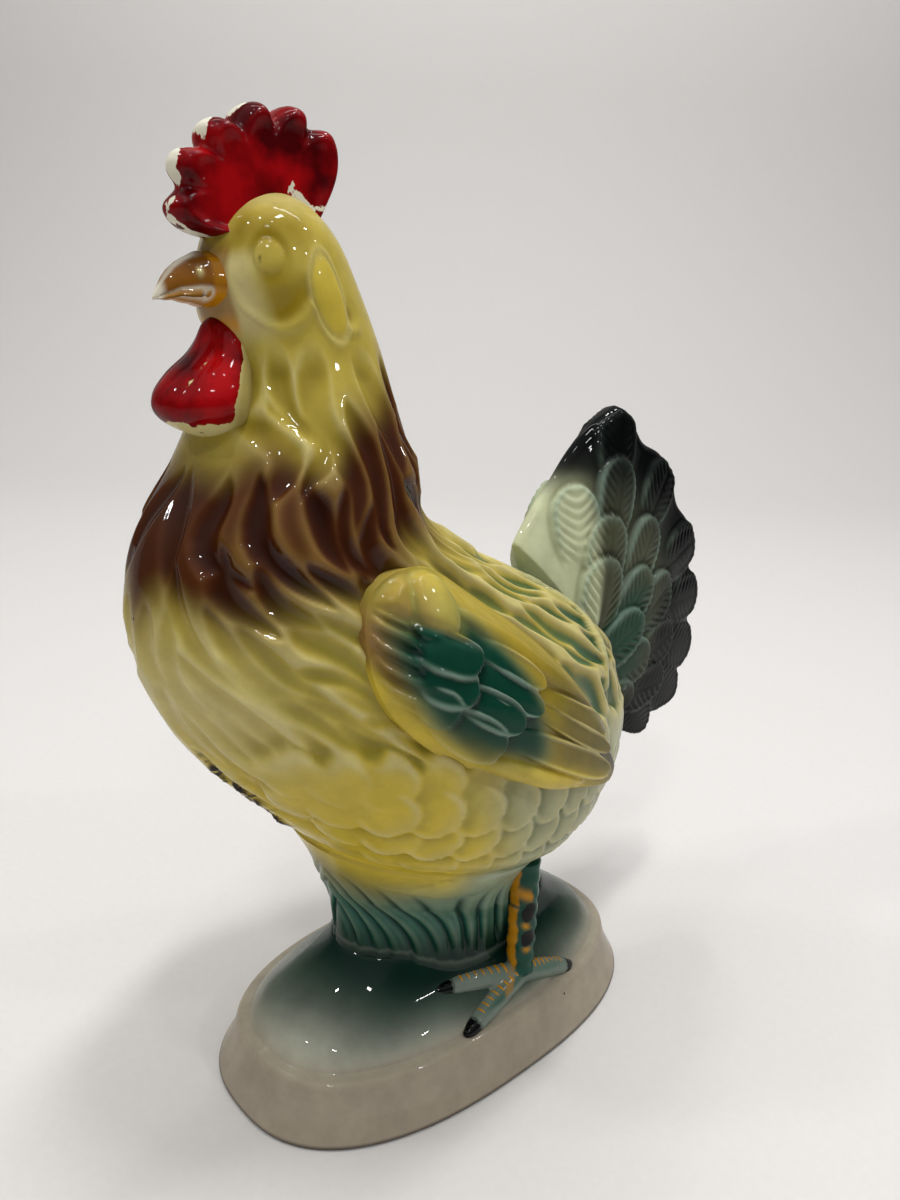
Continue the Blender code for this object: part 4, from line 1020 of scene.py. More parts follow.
def make_wing(side, glaze):
    """Rings from the wing's edge inwards, on the body's curve and sunk into it at the rim."""
    edge_shares = evenly(closed_curve(WING_OUTLINE, 12)[::-1], WING_COLUMNS)
    outline = wing_place(edge_shares)
    centre = outline.mean(0)
    free = ramp(-edge_shares[:, 1], -0.30, -0.02) * ramp(edge_shares[:, 0], 0.25, 0.60)
    inwards = np.concatenate([[0.0, 0.0, 0.0], np.linspace(0, 1, WING_RINGS + 2)[1:-1] ** 1.1])
    plan = centre + (1 - inwards[:, None, None]) * (outline - centre)
    y, z = plan[..., 0], plan[..., 1]
    along = (y + WING_FRONT) / WING_LENGTH
    across = (z - wing_place(np.stack([along, 0 * along], -1))[..., 1]) / WING_DEPTH
    edge = 0.1 + (WING_EDGE - 0.1) * free
    rise = edge + (WING_THICKNESS - edge) * ramp(inwards[:, None], 0, 0.36 - 0.28 * free)
    rise[0], rise[1] = -WING_SINK, np.minimum(edge - 2.0, -2.0)
    skin = Skin(np.stack([trunk_side(y, z) + rise, y, z], -1))
    height = wing_relief(skin, along, across) * ramp(inwards, 0.01, 0.08)[:, None]
    points = skin.raised(height)
    rim = soften(skin.edge.reshape(y.shape))
    hem = fade(inwards[:, None] + 0.6 * free, 0.05, 0.25)
    colours = paint_wing(points, along, across, height, rim, hem)
    points[..., 0] *= side
    name, node = ("left_wing", "wing_left") if side > 0 else ("right_wing", "wing_right")
    dress(make_piece(name, points, colours, flip=side < 0), glaze, "green_glaze", node)


TAIL_ROOT = np.array([RUMP_REACH - 17.0, CREASE_HEIGHT + 0.57 * BODY_HEIGHT])
TAIL_REACH = 70.0
TAIL_COLUMNS, TAIL_RINGS = 520, 96
# Half its thickness at the rim, what the root adds to it, and the share of the reach that the rump hides
TAIL_RIM_HALF, TAIL_SWELL, TAIL_HEEL = 3.5, 9.5, 0.36
TAIL_LIFT, TAIL_FEATHER_LENGTH, TAIL_FEATHER_WIDTH = 2.8, 25.0, 18.0
# Degrees above level behind the root, and the share of the tail's reach
TAIL_RIM = [(-62, 0.62), (-47, 0.88), (-31, 1.00), (-16, 0.99), (1, 0.96), (19, 0.93), (47, 0.90), (75, 0.95)]
TAIL_FRONT = [(75, 0.95), (84, 0.84), (92, 0.74), (100, 0.65), (114, 0.56), (128, 0.50)]
# Tips on the fan's faces: degrees, share of the reach, share of the lift
TAIL_FEATHERS = [
    (74, 0.74, 0.55), (45, 0.62, 0.55), (14, 0.62, 0.50), (-9, 0.68, 0.50), (-28, 0.72, 0.50),
    (78, 0.50, 0.75), (31, 0.44, 0.75), (-20, 0.46, 0.70), (-46, 0.52, 0.60),
    (80, 0.33, 0.95), (6, 0.32, 0.95), (97, 0.64, 0.60),
]
TAIL_UPTURN, TAIL_UPRIGHT = 0.3, 80.0
TAIL_SCALLOP = 3.4


def tail_outline():
    degrees, reach = [], []
    for (low, near), (high, far) in zip(TAIL_RIM, TAIL_RIM[1:]):
        t = np.linspace(0, 1, 30, endpoint=False)
        degrees.append(low + (high - low) * t)
        reach.append((near + (far - near) * t) * TAIL_REACH - TAIL_SCALLOP * np.sin(math.pi * t) ** 3)
    front = np.linspace(TAIL_FRONT[0][0], TAIL_FRONT[-1][0], 40)
    heel = np.linspace(TAIL_FRONT[-1][0], 360 + TAIL_RIM[0][0], 30)[1:-1]
    degrees += [front, heel]
    reach += [smooth_through(TAIL_FRONT, front)[0] * TAIL_REACH, np.full(len(heel), TAIL_HEEL * TAIL_REACH)]
    return around(TAIL_ROOT, np.concatenate(degrees), np.concatenate(reach))


def tail_half_thickness(share):
    """The fan thickens from its rim to its root."""
    return TAIL_RIM_HALF + TAIL_SWELL * (1 - np.clip(share / 0.94, 0, 1) ** 1.6)


def make_tail(glaze):
    """Feathers in rows with barbs, on both faces of the fan; their pale rims and ridges are partly painted
    highlight.
    """
    outline = evenly(tail_outline(), TAIL_COLUMNS)
    t = np.linspace(0, 1, TAIL_RINGS)
    share = 1 - 0.985 * t ** 1.05
    plan = TAIL_ROOT + share[:, None, None] * (outline - TAIL_ROOT)
    turned = np.degrees(np.arctan2(outline[:, 1] - TAIL_ROOT[1], outline[:, 0] - TAIL_ROOT[0]))
    rounding = 0.07 + 0.20 * ramp(turned, 70, 100)
    thickness = tail_half_thickness(share)[:, None] * rounded_rim(t[:, None] / rounding)
    near = np.stack([thickness, plan[..., 0], plan[..., 1]], -1)
    skin = Skin(near)

    def on_tail(places):
        away = np.linalg.norm(places - TAIL_ROOT, axis=1)
        return np.concatenate([tail_half_thickness(away / (0.93 * TAIL_REACH))[:, None], places], 1)

    tips = [(degrees, reach, 0.35, degrees) for degrees, reach in TAIL_RIM[1:]]
    for degrees, reach, lift in TAIL_FEATHERS:
        tips.append((degrees, reach, lift, degrees + TAIL_UPTURN * (TAIL_UPRIGHT - degrees)))
    for degrees, reach, lift, heading in tips:
        tip = around(TAIL_ROOT, degrees, reach * TAIL_REACH)
        root = around(tip, heading + 180, TAIL_FEATHER_LENGTH)
        path = on_tail(np.linspace(root, tip, 8))
        skin.feather(path, TAIL_FEATHER_WIDTH / 2, lift * TAIL_LIFT, rim=0.30, barb=0.30)
    height = skin.relief() * ramp(t, 0.0, 0.04)[:, None]
    ridge, groove = carved(height, 0.28, 0.32, reach=10)
    rim = soften(skin.edge.reshape(share.shape[0], -1))
    near = skin.raised(height)
    y, z = plan[..., 0] - TAIL_ROOT[0], plan[..., 1] - TAIL_ROOT[1]
    reach = np.hypot(y, z)
    degrees = np.degrees(np.arctan2(z, y))
    front = ramp(degrees, 82, 95) * fade(reach, 40, 50)
    coat = Coat("grey", near)
    coat.spray("ivory", 0.95 * front)
    coat.spray("green", 0.75 * fade(reach, 18, 34) * fade(degrees, 20, 60))
    coat.spray("slate", 0.80 * ramp(reach, 30, 48) * (1 - front))
    dark = np.maximum(ramp(reach, 42, 55), ramp(30 - degrees, 0, 40) * ramp(reach, 24, 40)) * (1 - front)
    coat.spray("black", 0.97 * dark)
    coat.spray("black", 0.65 * groove * (1 - front))
    coat.spray("olive", 0.45 * groove * front)
    # Pale mist on the feathers' rims and ridges: partly glaze colour, partly a painted highlight
    coat.spray("mist", 0.45 * rim * (1 - 0.95 * dark))
    coat.spray("mist", 0.20 * ridge * (1 - 0.9 * dark))
    colours = np.concatenate([coat.colours[::-1], coat.colours])
    piece = make_piece("fan_tail", both_faces(near), colours, flip=True)
    dress(piece, glaze, "black_glaze", "tail")


COMB_REACH = 20.0
COMB_COLUMNS, COMB_RINGS = 400, 64
COMB_MIDDLE = np.array([-53.7, CROWN - 3.0])
# Degrees above level behind the comb's middle, and the share of its reach
COMB_FAN = [
    (-30, 0.55), (4, 0.72), (34, 1.04), (50, 1.08), (70, 0.97), (97, 0.87), (132, 0.83), (160, 0.90),
    (192, 0.92), (215, 0.62),
]
# Degrees of its lobes, with a scallop and a pleat between each two
COMB_TIPS = [40, 67, 94, 128, 160, 192]
COMB_SCALLOP, COMB_HALF_THICKNESS = 2.8, 5.2


def make_comb(paint):
    """A scalloped fan with swollen lobes; the paint is worn at its tips and its base."""
    degrees = np.linspace(COMB_FAN[0][0], COMB_FAN[-1][0], 320)
    reach = smooth_through(COMB_FAN, degrees)[0] * COMB_REACH
    for low, high in zip(COMB_TIPS, COMB_TIPS[1:]):
        t = np.clip((degrees - low) / (high - low), 0, 1)
        reach = reach - COMB_SCALLOP * np.sin(math.pi * t) ** 3
    under = np.linspace(COMB_FAN[-1][0], 360 + COMB_FAN[0][0], 30)[1:-1]
    outline = around(COMB_MIDDLE, np.concatenate([degrees, under]),
                     np.concatenate([reach, np.full(len(under), 0.5 * COMB_REACH)]))
    outline = evenly(outline, COMB_COLUMNS)
    t = np.linspace(0, 1, COMB_RINGS)
    share = 1 - 0.97 * t ** 1.2
    plan = COMB_MIDDLE + share[:, None, None] * (outline - COMB_MIDDLE)
    behind, up = plan[..., 0] - COMB_MIDDLE[0], plan[..., 1] - COMB_MIDDLE[1]
    turned = np.degrees(np.arctan2(up, behind)) % 360
    pleat = np.zeros_like(turned)
    for low, high in zip(COMB_TIPS, COMB_TIPS[1:]):
        pleat += puff(turned, (low + high) / 2, 6.0)
    half = COMB_HALF_THICKNESS * rounded_rim(t / 0.20)
    swell = 0.9 * (1 - pleat) * puff(share, 0.86, 0.10)[:, None]
    slim = 1 - 0.35 * ramp(-behind, 2, 18)
    pinch = 1 - 0.20 * pleat * puff(share, 0.95, 0.13)[:, None]
    x = slim * half[:, None] * pinch + swell * ramp(t, 0.0, 0.12)[:, None]
    points = both_faces(np.stack([x, plan[..., 0], plan[..., 1]], -1))
    tips = ramp(share, 0.95, 0.998)[:, None] * ramp(-behind, -12, 4) * (1 - 0.5 * pleat)
    rear_base = np.exp(-(((behind - 9) / 9) ** 2 + ((up - 3.4 + 0.3 * behind) / 2.2) ** 2))
    front_spot = np.exp(-(((behind + 13) / 2.2) ** 2 + ((up - 2.5) / 2.0) ** 2))
    wear = 0.22 + 0.36 * tips + 0.38 * rear_base + 0.26 * front_spot
    wear = np.concatenate([wear[::-1], wear])
    piece = make_piece("lobed_comb", points, Coat("white", points).colours, wear=wear, flip=True)
    dress(piece, paint, "red_paint", "comb")


# Wattle: height as a share, front and half width, from foot to top
WATTLE_PROFILE = [
    (0.0, -65.5, 1.0), (0.06, -70.5, 7.0), (0.20, -75.0, 11.6), (0.36, -75.6, 12.6), (0.54, -72.4, 11.4),
    (0.70, -68.0, 9.0), (0.84, -66.2, 7.0), (1.0, -66.6, 5.0),
]
WATTLE_BACK = -57.0
WATTLE_COLUMNS, WATTLE_RINGS = 200, 110
# Run of its top into the throat
WATTLE_SINK = 1.5


def make_wattle(paint):
    """A dented drop under the beak, worn along its foot and where it meets the throat."""
    low, high = box_mm("wattle")
    a = turn(WATTLE_COLUMNS)[None]
    t = np.linspace(0, 1, WATTLE_RINGS)
    front, half_width = smooth_through(WATTLE_PROFILE, t)
    round_off = np.sqrt(np.clip(1 - np.abs(2 * t - 1) ** 6, 0.0025, 1))[:, None]
    front, half_width = front[:, None], half_width[:, None] * round_off
    middle = (front + WATTLE_BACK) / 2
    x = half_width * np.sin(a)
    y = middle - (middle - front) * np.cos(a) * round_off
    z = np.broadcast_to((low[2] + (high[2] - low[2] + WATTLE_SINK) * t)[:, None], x.shape)
    points = np.stack([x, y, z], -1)
    b = np.abs(wrapped(a)) + 0 * x
    t = t[:, None] + 0 * x
    dent = 0.8 * puff(b, 0.55, 0.20) * puff(t, 0.45, 0.25)
    points = points - surface_normals(points) * dent[..., None]
    wear = 0.24 + 0.45 * fade(t, 0.10, 0.24) + 0.20 * puff(b, 0.55, 0.12) * puff(t, 0.5, 0.25)
    wear = wear + 0.5 * ramp(b, 1.50, 1.75)
    coat = Coat("cream", points)
    coat.spray("gold", 0.6 * ramp(b, 1.4, 1.8))
    piece = make_piece("hanging_wattle", points, coat.colours, wear=wear)
    dress(piece, paint, "red_paint", "wattle")


# Beak: half width, level of its middle, height above and depth below it; then its taper and its hook
BEAK_HALF_WIDTH, BEAK_LEVEL, BEAK_RISE, BEAK_CHIN = 7.0, 196.4, 6.2, 4.2
BEAK_TAPER = [(0.0, 1.02), (0.3, 0.97), (0.55, 0.78), (0.8, 0.46), (0.94, 0.2), (1.0, 0.05)]
BEAK_HOOK = [(0.0, 0.0), (0.45, 0.0), (0.7, 0.6), (0.9, 2.0), (1.0, 2.9)]
# Run of its root into the face
BEAK_SINK = 1.0
BEAK_COLUMNS, BEAK_RINGS = 180, 80


def make_beak(glaze):
    """A tapered hook with a mouth line, nostrils and a keel, with a painted highlight along the keel."""
    low, high = box_mm("beak")
    root, tip = high[1] + BEAK_SINK, low[1]
    t = np.linspace(0, 1, BEAK_RINGS)[:, None]
    a = turn(BEAK_COLUMNS)[None]
    size = np.interp(t, *zip(*BEAK_TAPER))
    sag = np.interp(t, *zip(*BEAK_HOOK))
    up = np.sin(a) + 0 * t
    z = BEAK_LEVEL + np.where(up > 0, BEAK_RISE, BEAK_CHIN) * size * up - sag
    points = np.stack([BEAK_HALF_WIDTH * size * np.cos(a), root + (tip - root) * t + 0 * a, z], -1)
    along = ramp(t, 0.30, 0.42) * fade(t, 0.90, 0.97)
    mouth = puff(up, -0.50, 0.10) * along
    lip = (puff(up, -0.22, 0.12) + puff(up, -0.75, 0.12)) * along
    corner = puff(np.hypot((t - 0.33) * 14, (up + 0.48) * 3.2), 0.85, 0.35)
    nostril = puff(np.hypot((t - 0.45) * 14, (up - 0.35) * 4), 0, 0.6)
    keel = puff(up, 1.0, 0.10) * ramp(t, 0.25, 0.5)
    shift = -0.9 * mouth + 0.35 * lip + 0.4 * corner - 0.5 * nostril + 0.3 * keel
    points = points - surface_normals(points) * shift[..., None]
    coat = Coat("amber", points)
    coat.spray("umber", 0.60 * ramp(up, 0.1, 0.7) * fade(t, 0.45, 0.75))
    coat.spray("ochre", 0.6 * ramp(-up, 0.0, 0.4) + 0.25 * fade(t, 0.22, 0.32))
    coat.spray("white", 0.85 * ramp(t + 0 * a, 0.84, 0.94))
    # White along the lips and corners is glaze colour; white along the keel is a painted highlight
    coat.spray("white", 0.75 * np.clip(lip + corner, 0, 1) + 0.55 * keel)
    coat.spray("umber", 0.7 * mouth)
    coat.spray("cream", 0.8 * nostril)
    piece = make_piece("hooked_beak", points, coat.colours, flip=True)
    dress(piece, glaze, "ochre_glaze", "beak")


# Legs: a shank and three toes, fused as soft clay, with a row of scutes along each toe
ANKLE = np.array([25.5, 9.0])
SHANK_TOP = np.array([23.4, 10.8])
# Degrees of each toe outwards from straight ahead, and its length
TOES = [(-12, 27.0), (11, 25.0), (170, 19.0)]
SCUTE_COUNT, SCUTE_RADIUS, SCUTE_LIFT, SCUTE_FLATNESS = 8, 2.5, 0.95, 0.30
SHANK_RADIUS, SHANK_FLARE, KNUCKLES, KNUCKLE_RISE, CLAY_GRAIN = 3.7, 0.7, 7, 0.20, 0.4
# Height of the ankle's middle over the mound, and run of the shank past the crease into the belly
ANKLE_RISE, SHANK_SINK = 1.0, 7.0
# Depth of a toe's middle in the mound, lift of its claw, and the part of it that carries scutes
TOE_SINK, CLAW_LIFT, SCUTE_SPAN = 0.2, 0.7, (0.12, 0.74)
# Brushed marks on the shank: dots (place round it, height) and blots (height, half their height)
OCHRE_DOTS = [(0.20, 36.2), (0.35, 29.0)]
BLACK_BLOTS = [(32.4, 2.5), (40.0, 3.0)]
# Radii along a toe
TOE_SIZES = [(0, 3.1), (0.55, 2.8), (0.78, 2.4), (0.92, 1.8), (1.0, 0.8)]


def tube(points, radii, sides=24):
    """Rings round a path, as vertices and faces of a closed tube."""
    run = np.gradient(points, axis=0)
    run /= np.linalg.norm(run, axis=1, keepdims=True)
    across = np.cross(run, [0.31, 0.2, 0.93])
    across /= np.linalg.norm(across, axis=1, keepdims=True)
    other = np.cross(run, across)
    a = turn(sides)[None, :, None]
    spokes = np.cos(a) * across[:, None] + np.sin(a) * other[:, None]
    rings = points[:, None] + radii[:, None, None] * spokes
    faces, low_ring, high_ring = quads(len(points), sides)
    return rings.reshape(-1, 3), faces + [low_ring[::-1], high_ring]


def toe_path(degrees, length, side):
    """Places along a toe half sunk in the mound, and their share of its length."""
    t = np.linspace(0, 1, 40)
    x = ANKLE[0] + t * length * math.sin(math.radians(degrees))
    y = ANKLE[1] - t * length * math.cos(math.radians(degrees))
    return np.stack([side * x, y, on_mound(x, y) - TOE_SINK + CLAW_LIFT * t ** 3], -1), t


def scute_tree(material):
    """Geometry Nodes: flat beads at even steps along a curve, smaller towards its end."""
    tree = bpy.data.node_groups.new("Scutes along a toe", 'GeometryNodeTree')
    face = tree.interface
    face.new_socket("Geometry", in_out='INPUT', socket_type='NodeSocketGeometry')
    face.new_socket("Count", in_out='INPUT', socket_type='NodeSocketInt')
    face.new_socket("Radius", in_out='INPUT', socket_type='NodeSocketFloat')
    face.new_socket("Geometry", in_out='OUTPUT', socket_type='NodeSocketGeometry')
    given = add(tree, 'NodeGroupInput')
    stations = add(tree, 'GeometryNodeResampleCurve', {
        "Curve": given.outputs["Geometry"], "Count": given.outputs["Count"]})
    heading = add(tree, 'GeometryNodeInputTangent')
    turned = add(tree, 'FunctionNodeAlignRotationToVector', {"Vector": heading.outputs["Tangent"]}, axis='Z')
    share = add(tree, 'GeometryNodeSplineParameter')
    taper = add(tree, 'ShaderNodeMapRange', {"Value": share.outputs["Factor"], "To Min": 1.0, "To Max": 0.72})
    bead = add(tree, 'GeometryNodeMeshUVSphere', {
        "Segments": 20, "Rings": 12, "Radius": given.outputs["Radius"]})
    flat = add(tree, 'GeometryNodeTransform', {
        "Geometry": bead.outputs["Mesh"], "Scale": (1.0, 1.0, SCUTE_FLATNESS)})
    laid = add(tree, 'GeometryNodeInstanceOnPoints', {
        "Points": stations.outputs["Curve"], "Instance": flat.outputs["Geometry"],
        "Rotation": turned.outputs["Rotation"], "Scale": taper.outputs["Result"]})
    real = add(tree, 'GeometryNodeRealizeInstances', {"Geometry": laid.outputs["Instances"]})
    done = add(tree, 'GeometryNodeSetMaterial', {"Geometry": real.outputs["Geometry"], "Material": material})
    add(tree, 'NodeGroupOutput', {"Geometry": done.outputs["Geometry"]})
    return tree


def plain_mesh(item, name):
    """The evaluated shape of an object as a mesh of its own; the object goes."""
    bpy.context.view_layer.update()
    mesh = bpy.data.meshes.new_from_object(item.evaluated_get(bpy.context.evaluated_depsgraph_get()))
    bpy.data.objects.remove(item)
    mesh.name = name
    return mesh


def make_scutes(side, tree, material, node):
    """Lay the scutes along a foot's toes and make them plain mesh."""
    curve = bpy.data.curves.new("toe_lines", 'CURVE')
    curve.dimensions = '3D'
    for degrees, length in TOES:
        path, t = toe_path(degrees, length, side)
        path = path[(t > SCUTE_SPAN[0]) & (t < SCUTE_SPAN[1])] + [0.0, 0.0, SCUTE_LIFT]
        line = curve.splines.new('POLY')
        line.points.add(len(path) - 1)
        for point, place in zip(line.points, path):
            point.co = (*(place * MM), 1.0)
    item = bpy.data.objects.new("toe_lines", curve)
    bpy.context.scene.collection.objects.link(item)
    step = item.modifiers.new("Scutes", 'NODES')
    step.node_group = tree
    sizes = {"Count": SCUTE_COUNT, "Radius": SCUTE_RADIUS * MM}
    for socket in tree.interface.items_tree:
        if socket.in_out == 'INPUT' and socket.name in sizes:
            step[socket.identifier] = sizes[socket.name]
    mesh = plain_mesh(item, "toe_scutes")
    mesh.shade_smooth()
    dress(finish_piece(f"{node}_scutes", mesh), material, "ochre_glaze", node)


def clay_leg(side):
    """Shank and toes, fused and softened into one mesh."""
    ankle = np.array([side * ANKLE[0], ANKLE[1], float(on_mound(*ANKLE)) + ANKLE_RISE])
    top = np.array([side * SHANK_TOP[0], SHANK_TOP[1], crease(SHANK_TOP[1]) + SHANK_SINK])
    t = np.linspace(0, 1, 30)
    knuckles = KNUCKLE_RISE * np.cos(2 * math.pi * t * KNUCKLES)
    tubes = [tube(ankle + t[:, None] * (top - ankle), SHANK_RADIUS + SHANK_FLARE * t + knuckles)]
    for degrees, length in TOES:
        path, t = toe_path(degrees, length, side)
        tubes.append(tube(path, np.interp(t, *zip(*TOE_SIZES))))
    verts, faces = [], []
    for places, loops in tubes:
        faces += [[i + len(verts) for i in loop] for loop in loops]
        verts += (places * MM).tolist()
    mesh = bpy.data.meshes.new("clay_leg")
    mesh.from_pydata(verts, [], faces)
    rough = finish_piece("clay_leg", mesh)
    fuse = rough.modifiers.new("Fuse clay", 'REMESH')
    fuse.mode = 'VOXEL'
    fuse.voxel_size = CLAY_GRAIN * MM
    even = rough.modifiers.new("Soften clay", 'SMOOTH')
    even.iterations = 5
    even.factor = 0.5
    return plain_mesh(rough, "clay_leg")


def paint_leg(place):
    """Pale teal toes with black claws; a green shank with ochre strokes and black blots outside, and a
    painted highlight down its rear edge.
    """
    x, y, z = place.T
    shank = ramp(z - on_mound(x, y), 3.0, 5.0)
    round_shank = ((x - ANKLE[0]) * 0.67 + (y - ANKLE[1]) * 0.74) / 4.4
    outside = ramp((x - ANKLE[0]) * 0.74 - (y - ANKLE[1]) * 0.67, -1.0, 0.0)
    shaky = round_shank + 0.06 * np.sin(0.7 * z) + 0.03 * np.sin(1.9 * z + 1)
    stripe = ramp(shaky, -0.95, -0.80) * fade(shaky, -0.42, -0.28) * (1 - 0.9 * puff(z, 41.5, 0.5))
    hook = puff(z + 1.5 * round_shank, 45.5, 1.5) * ramp(shaky, -0.95, -0.80) * fade(shaky, 0.4, 0.6)
    dots = sum(puff(np.hypot((shaky - at) * 4, z - level), 0, 0.9) for at, level in OCHRE_DOTS)
    coat = Coat("teal", place)
    coat.spray("lichen", 0.55 * (1 - shank))
    coat.spray("pine", 0.35 * (1 - shank))
    coat.spray("green", 0.85 * shank)
    coat.spray("ochre", 0.92 * shank * outside * np.clip(np.maximum(stripe, hook) + dots, 0, 1))
    for level, tall in BLACK_BLOTS:
        blot = np.hypot((shaky - 0.32) / 0.46, (z - level) / tall)
        coat.spray("black", shank * outside * fade(blot, 0.85, 1.05))
    # A pale line down the shank's rear edge: a painted highlight
    coat.spray("mist", 0.7 * shank * ramp(round_shank, 0.80, 0.92))
    for degrees, length in TOES:
        path, t = toe_path(degrees, length, 1)
        far = np.linalg.norm(place[:, None] - path[None], axis=-1)
        claw = ramp(4.0 - far.min(1), 0, 0.6) * ramp(t[far.argmin(1)], 0.80, 0.84)
        coat.spray("black", (1 - shank) * claw)
    return coat.colours


def make_leg(side, glaze, tree, scute_glaze):
    """One leg of painted clay with its scutes."""
    mesh = clay_leg(side)
    place = np.empty(len(mesh.vertices) * 3)
    mesh.vertices.foreach_get("co", place)
    set_paint(mesh, paint_leg(place.reshape(-1, 3) / MM * [side, 1, 1]))
    mesh.shade_smooth()
    node = "leg_left" if side > 0 else "leg_right"
    dress(finish_piece(f"{node}_clay", mesh), glaze, "ochre_glaze", node)
    make_scutes(side, tree, scute_glaze, node)


# Camera, floor and light
CAMERA_PLACE = np.array([168.0, -151.0, 188.0])
CAMERA_YAW, CAMERA_PITCH, CAMERA_ROLL = (math.radians(v) for v in (47.8, 16.1, 2.0))
FOCAL_PIXELS, IMAGE_HEIGHT = 903.0, 1200
SENSOR = 36.0


def set_camera():
    yaw, pitch, roll = CAMERA_YAW, CAMERA_PITCH, CAMERA_ROLL
    back = np.array([math.sin(yaw) * math.cos(pitch), -math.cos(yaw) * math.cos(pitch), math.sin(pitch)])
    right = np.array([math.cos(yaw), math.sin(yaw), 0.0])
    up = np.cross(back, right)
    level = math.cos(roll) * right + math.sin(roll) * up
    upright = -math.sin(roll) * right + math.cos(roll) * up
    data = bpy.data.cameras.new("photo_view")
    data.sensor_fit = 'VERTICAL'
    data.sensor_height = SENSOR
    data.lens = SENSOR * FOCAL_PIXELS / IMAGE_HEIGHT
    data.clip_start = 0.01
    camera = bpy.data.objects.new("photo_view", data)
    turned = Matrix((level, upright, back)).transposed().to_4x4()
    camera.matrix_world = Matrix.Translation(CAMERA_PLACE * MM) @ turned
    bpy.context.scene.collection.objects.link(camera)
    bpy.context.scene.camera = camera


FLOOR_WIDE, FLOOR_NEAR, FLOOR_FAR, SWEEP_RADIUS, SWEEP_TOP = 3.0, 1.6, 0.9, 0.6, 2.6
# Grain of the paper in millimetres
PAPER_TOOTH = 2.5


def make_floor():
    """Pale paper sweep: flat under the figure, curving up far behind it."""
    line = [(-FLOOR_NEAR, 0.0), (FLOOR_FAR, 0.0)]
    for bend in np.linspace(0, math.pi / 2, 13)[1:]:
        line.append((FLOOR_FAR + SWEEP_RADIUS * math.sin(bend), SWEEP_RADIUS * (1 - math.cos(bend))))
    line.append((FLOOR_FAR + SWEEP_RADIUS, SWEEP_TOP))
    builder = bmesh.new()
    rows = []
    for run, height in line:
        row = []
        for side in (-FLOOR_WIDE, FLOOR_WIDE):
            x = side * math.cos(CAMERA_YAW) - run * math.sin(CAMERA_YAW)
            y = side * math.sin(CAMERA_YAW) + run * math.cos(CAMERA_YAW)
            row.append(builder.verts.new((x, y, height)))
        rows.append(row)
    for low, high in zip(rows, rows[1:]):
        builder.faces.new((low[0], low[1], high[1], high[0]))
    mesh = bpy.data.meshes.new("paper_sweep")
    builder.to_mesh(mesh)
    builder.free()
    mesh.shade_smooth()
    material, tree = new_material("matt background paper")
    place = add(tree, 'ShaderNodeTexCoord').outputs["Object"]
    tooth = add(tree, 'ShaderNodeTexNoise', {"Vector": place, "Scale": per_mm(PAPER_TOOTH), "Detail": 3.0})
    tone = add(tree, 'ShaderNodeMapRange', {"Value": tooth.outputs["Fac"], "To Min": 0.95, "To Max": 1.02})
    colour = add(tree, 'ShaderNodeMix', {"Factor": 1.0, "A": rgba("paper"), "B": tone.outputs["Result"]},
                 data_type='RGBA', blend_type='MULTIPLY')
    shader = add(tree, 'ShaderNodeBsdfPrincipled', {
        "Base Color": colour.outputs["Result"], "Roughness": 0.75})
    add(tree, 'ShaderNodeOutputMaterial', {"Surface": shader.outputs["BSDF"]})
    mesh.materials.append(material)
    finish_piece("paper_sweep", mesh)


def add_panel(name, place, aim, size, power):
    """A light panel that faces a point."""
    data = bpy.data.lights.new(name, 'AREA')
    data.shape = 'RECTANGLE'
    data.size, data.size_y = size
    data.energy = power
    lamp = bpy.data.objects.new(name, data)
    back = np.array(place) - np.array(aim)
    back = back / np.linalg.norm(back)
    right = np.cross([0, 0, 1.0], back)
    right = right / np.linalg.norm(right)
    turned = Matrix((right, np.cross(back, right), back)).transposed().to_4x4()
    lamp.matrix_world = Matrix.Translation(place) @ turned
    bpy.context.scene.collection.objects.link(lamp)


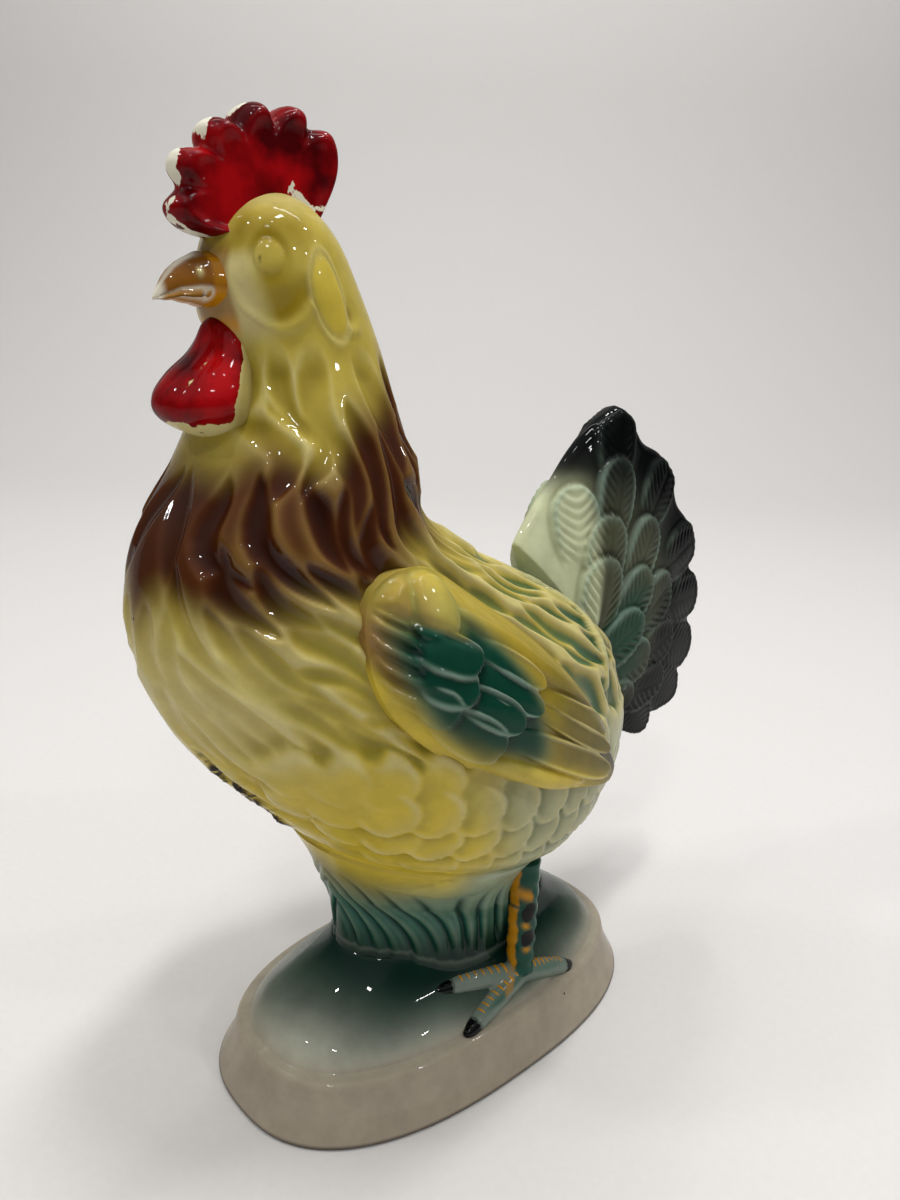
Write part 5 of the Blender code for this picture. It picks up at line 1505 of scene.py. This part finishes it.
# Small panels: place, size and power
GLINTS = {
    "overhead_glint": ((0.10, 0.05, 0.95), (0.19, 0.08), 3.0),
    "camera_glint": ((0.45, -0.55, 0.95), (0.11, 0.05), 1.5),
    "front_glint": ((-0.30, -0.65, 0.90), (0.08, 0.04), 1.2),
    "side_glint": ((0.75, 0.20, 0.75), (0.07, 0.035), 0.8),
    "back_glint": ((-0.40, 0.40, 1.0), (0.07, 0.035), 0.7),
    "near_glint": ((0.30, -0.20, 1.1), (0.05, 0.03), 0.6),
    "left_glint": ((-0.10, -0.35, 1.0), (0.05, 0.03), 0.5),
    "tail_glint": ((0.35, 0.50, 0.9), (0.05, 0.03), 0.6),
}
GLINT_AIM = (0.0, 0.0, 0.12)
WALL_GLOW, CEILING_GLOW = 0.10, 0.70
AIR_TINT = (0.97, 0.98, 1.0, 1.0)


def set_light():
    """A bright ceiling over dim walls, a panel on the backdrop, and tiny panels that make the glints."""
    world = bpy.data.worlds.new("studio_air")
    bpy.context.scene.world = world
    world.use_nodes = True
    tree = world.node_tree
    way = add(tree, 'ShaderNodeTexCoord').outputs["Generated"]
    height = add(tree, 'ShaderNodeSeparateXYZ', {"Vector": way}).outputs["Z"]
    glow = add(tree, 'ShaderNodeMapRange', {
        "Value": height, "From Min": 0.1, "From Max": 1.0, "To Min": WALL_GLOW, "To Max": CEILING_GLOW},
        interpolation_type='SMOOTHSTEP')
    air = tree.nodes["Background"]
    air.inputs["Color"].default_value = AIR_TINT
    tree.links.new(glow.outputs["Result"], air.inputs["Strength"])
    for name, (place, size, power) in GLINTS.items():
        add_panel(name, place, GLINT_AIM, size, power)
    add_panel("backdrop_panel", place=(-0.40, 0.36, 1.6), aim=(-1.10, 1.0, 0.8), size=(1.5, 0.3), power=14.0)
    bpy.context.scene.view_settings.view_transform = 'Standard'


def build():
    body_glaze = glazed_earthenware("airbrushed earthenware glaze")
    tail_glaze = glazed_earthenware("black airbrushed glaze", gloss=0.30)
    brushed = glazed_earthenware("brushed colour under glaze")
    scute_glaze = glazed_earthenware("ochre dashes under glaze", "ochre")
    red = cold_paint("flaking red cold paint")
    tree = scute_tree(scute_glaze)
    make_trunk(body_glaze)
    make_plinth(body_glaze)
    make_pedestal(body_glaze)
    for side in (1, -1):
        make_wing(side, body_glaze)
        make_leg(side, brushed, tree, scute_glaze)
    make_tail(tail_glaze)
    make_comb(red)
    make_wattle(red)
    make_beak(brushed)
    make_floor()
    set_light()
    set_camera()


build()
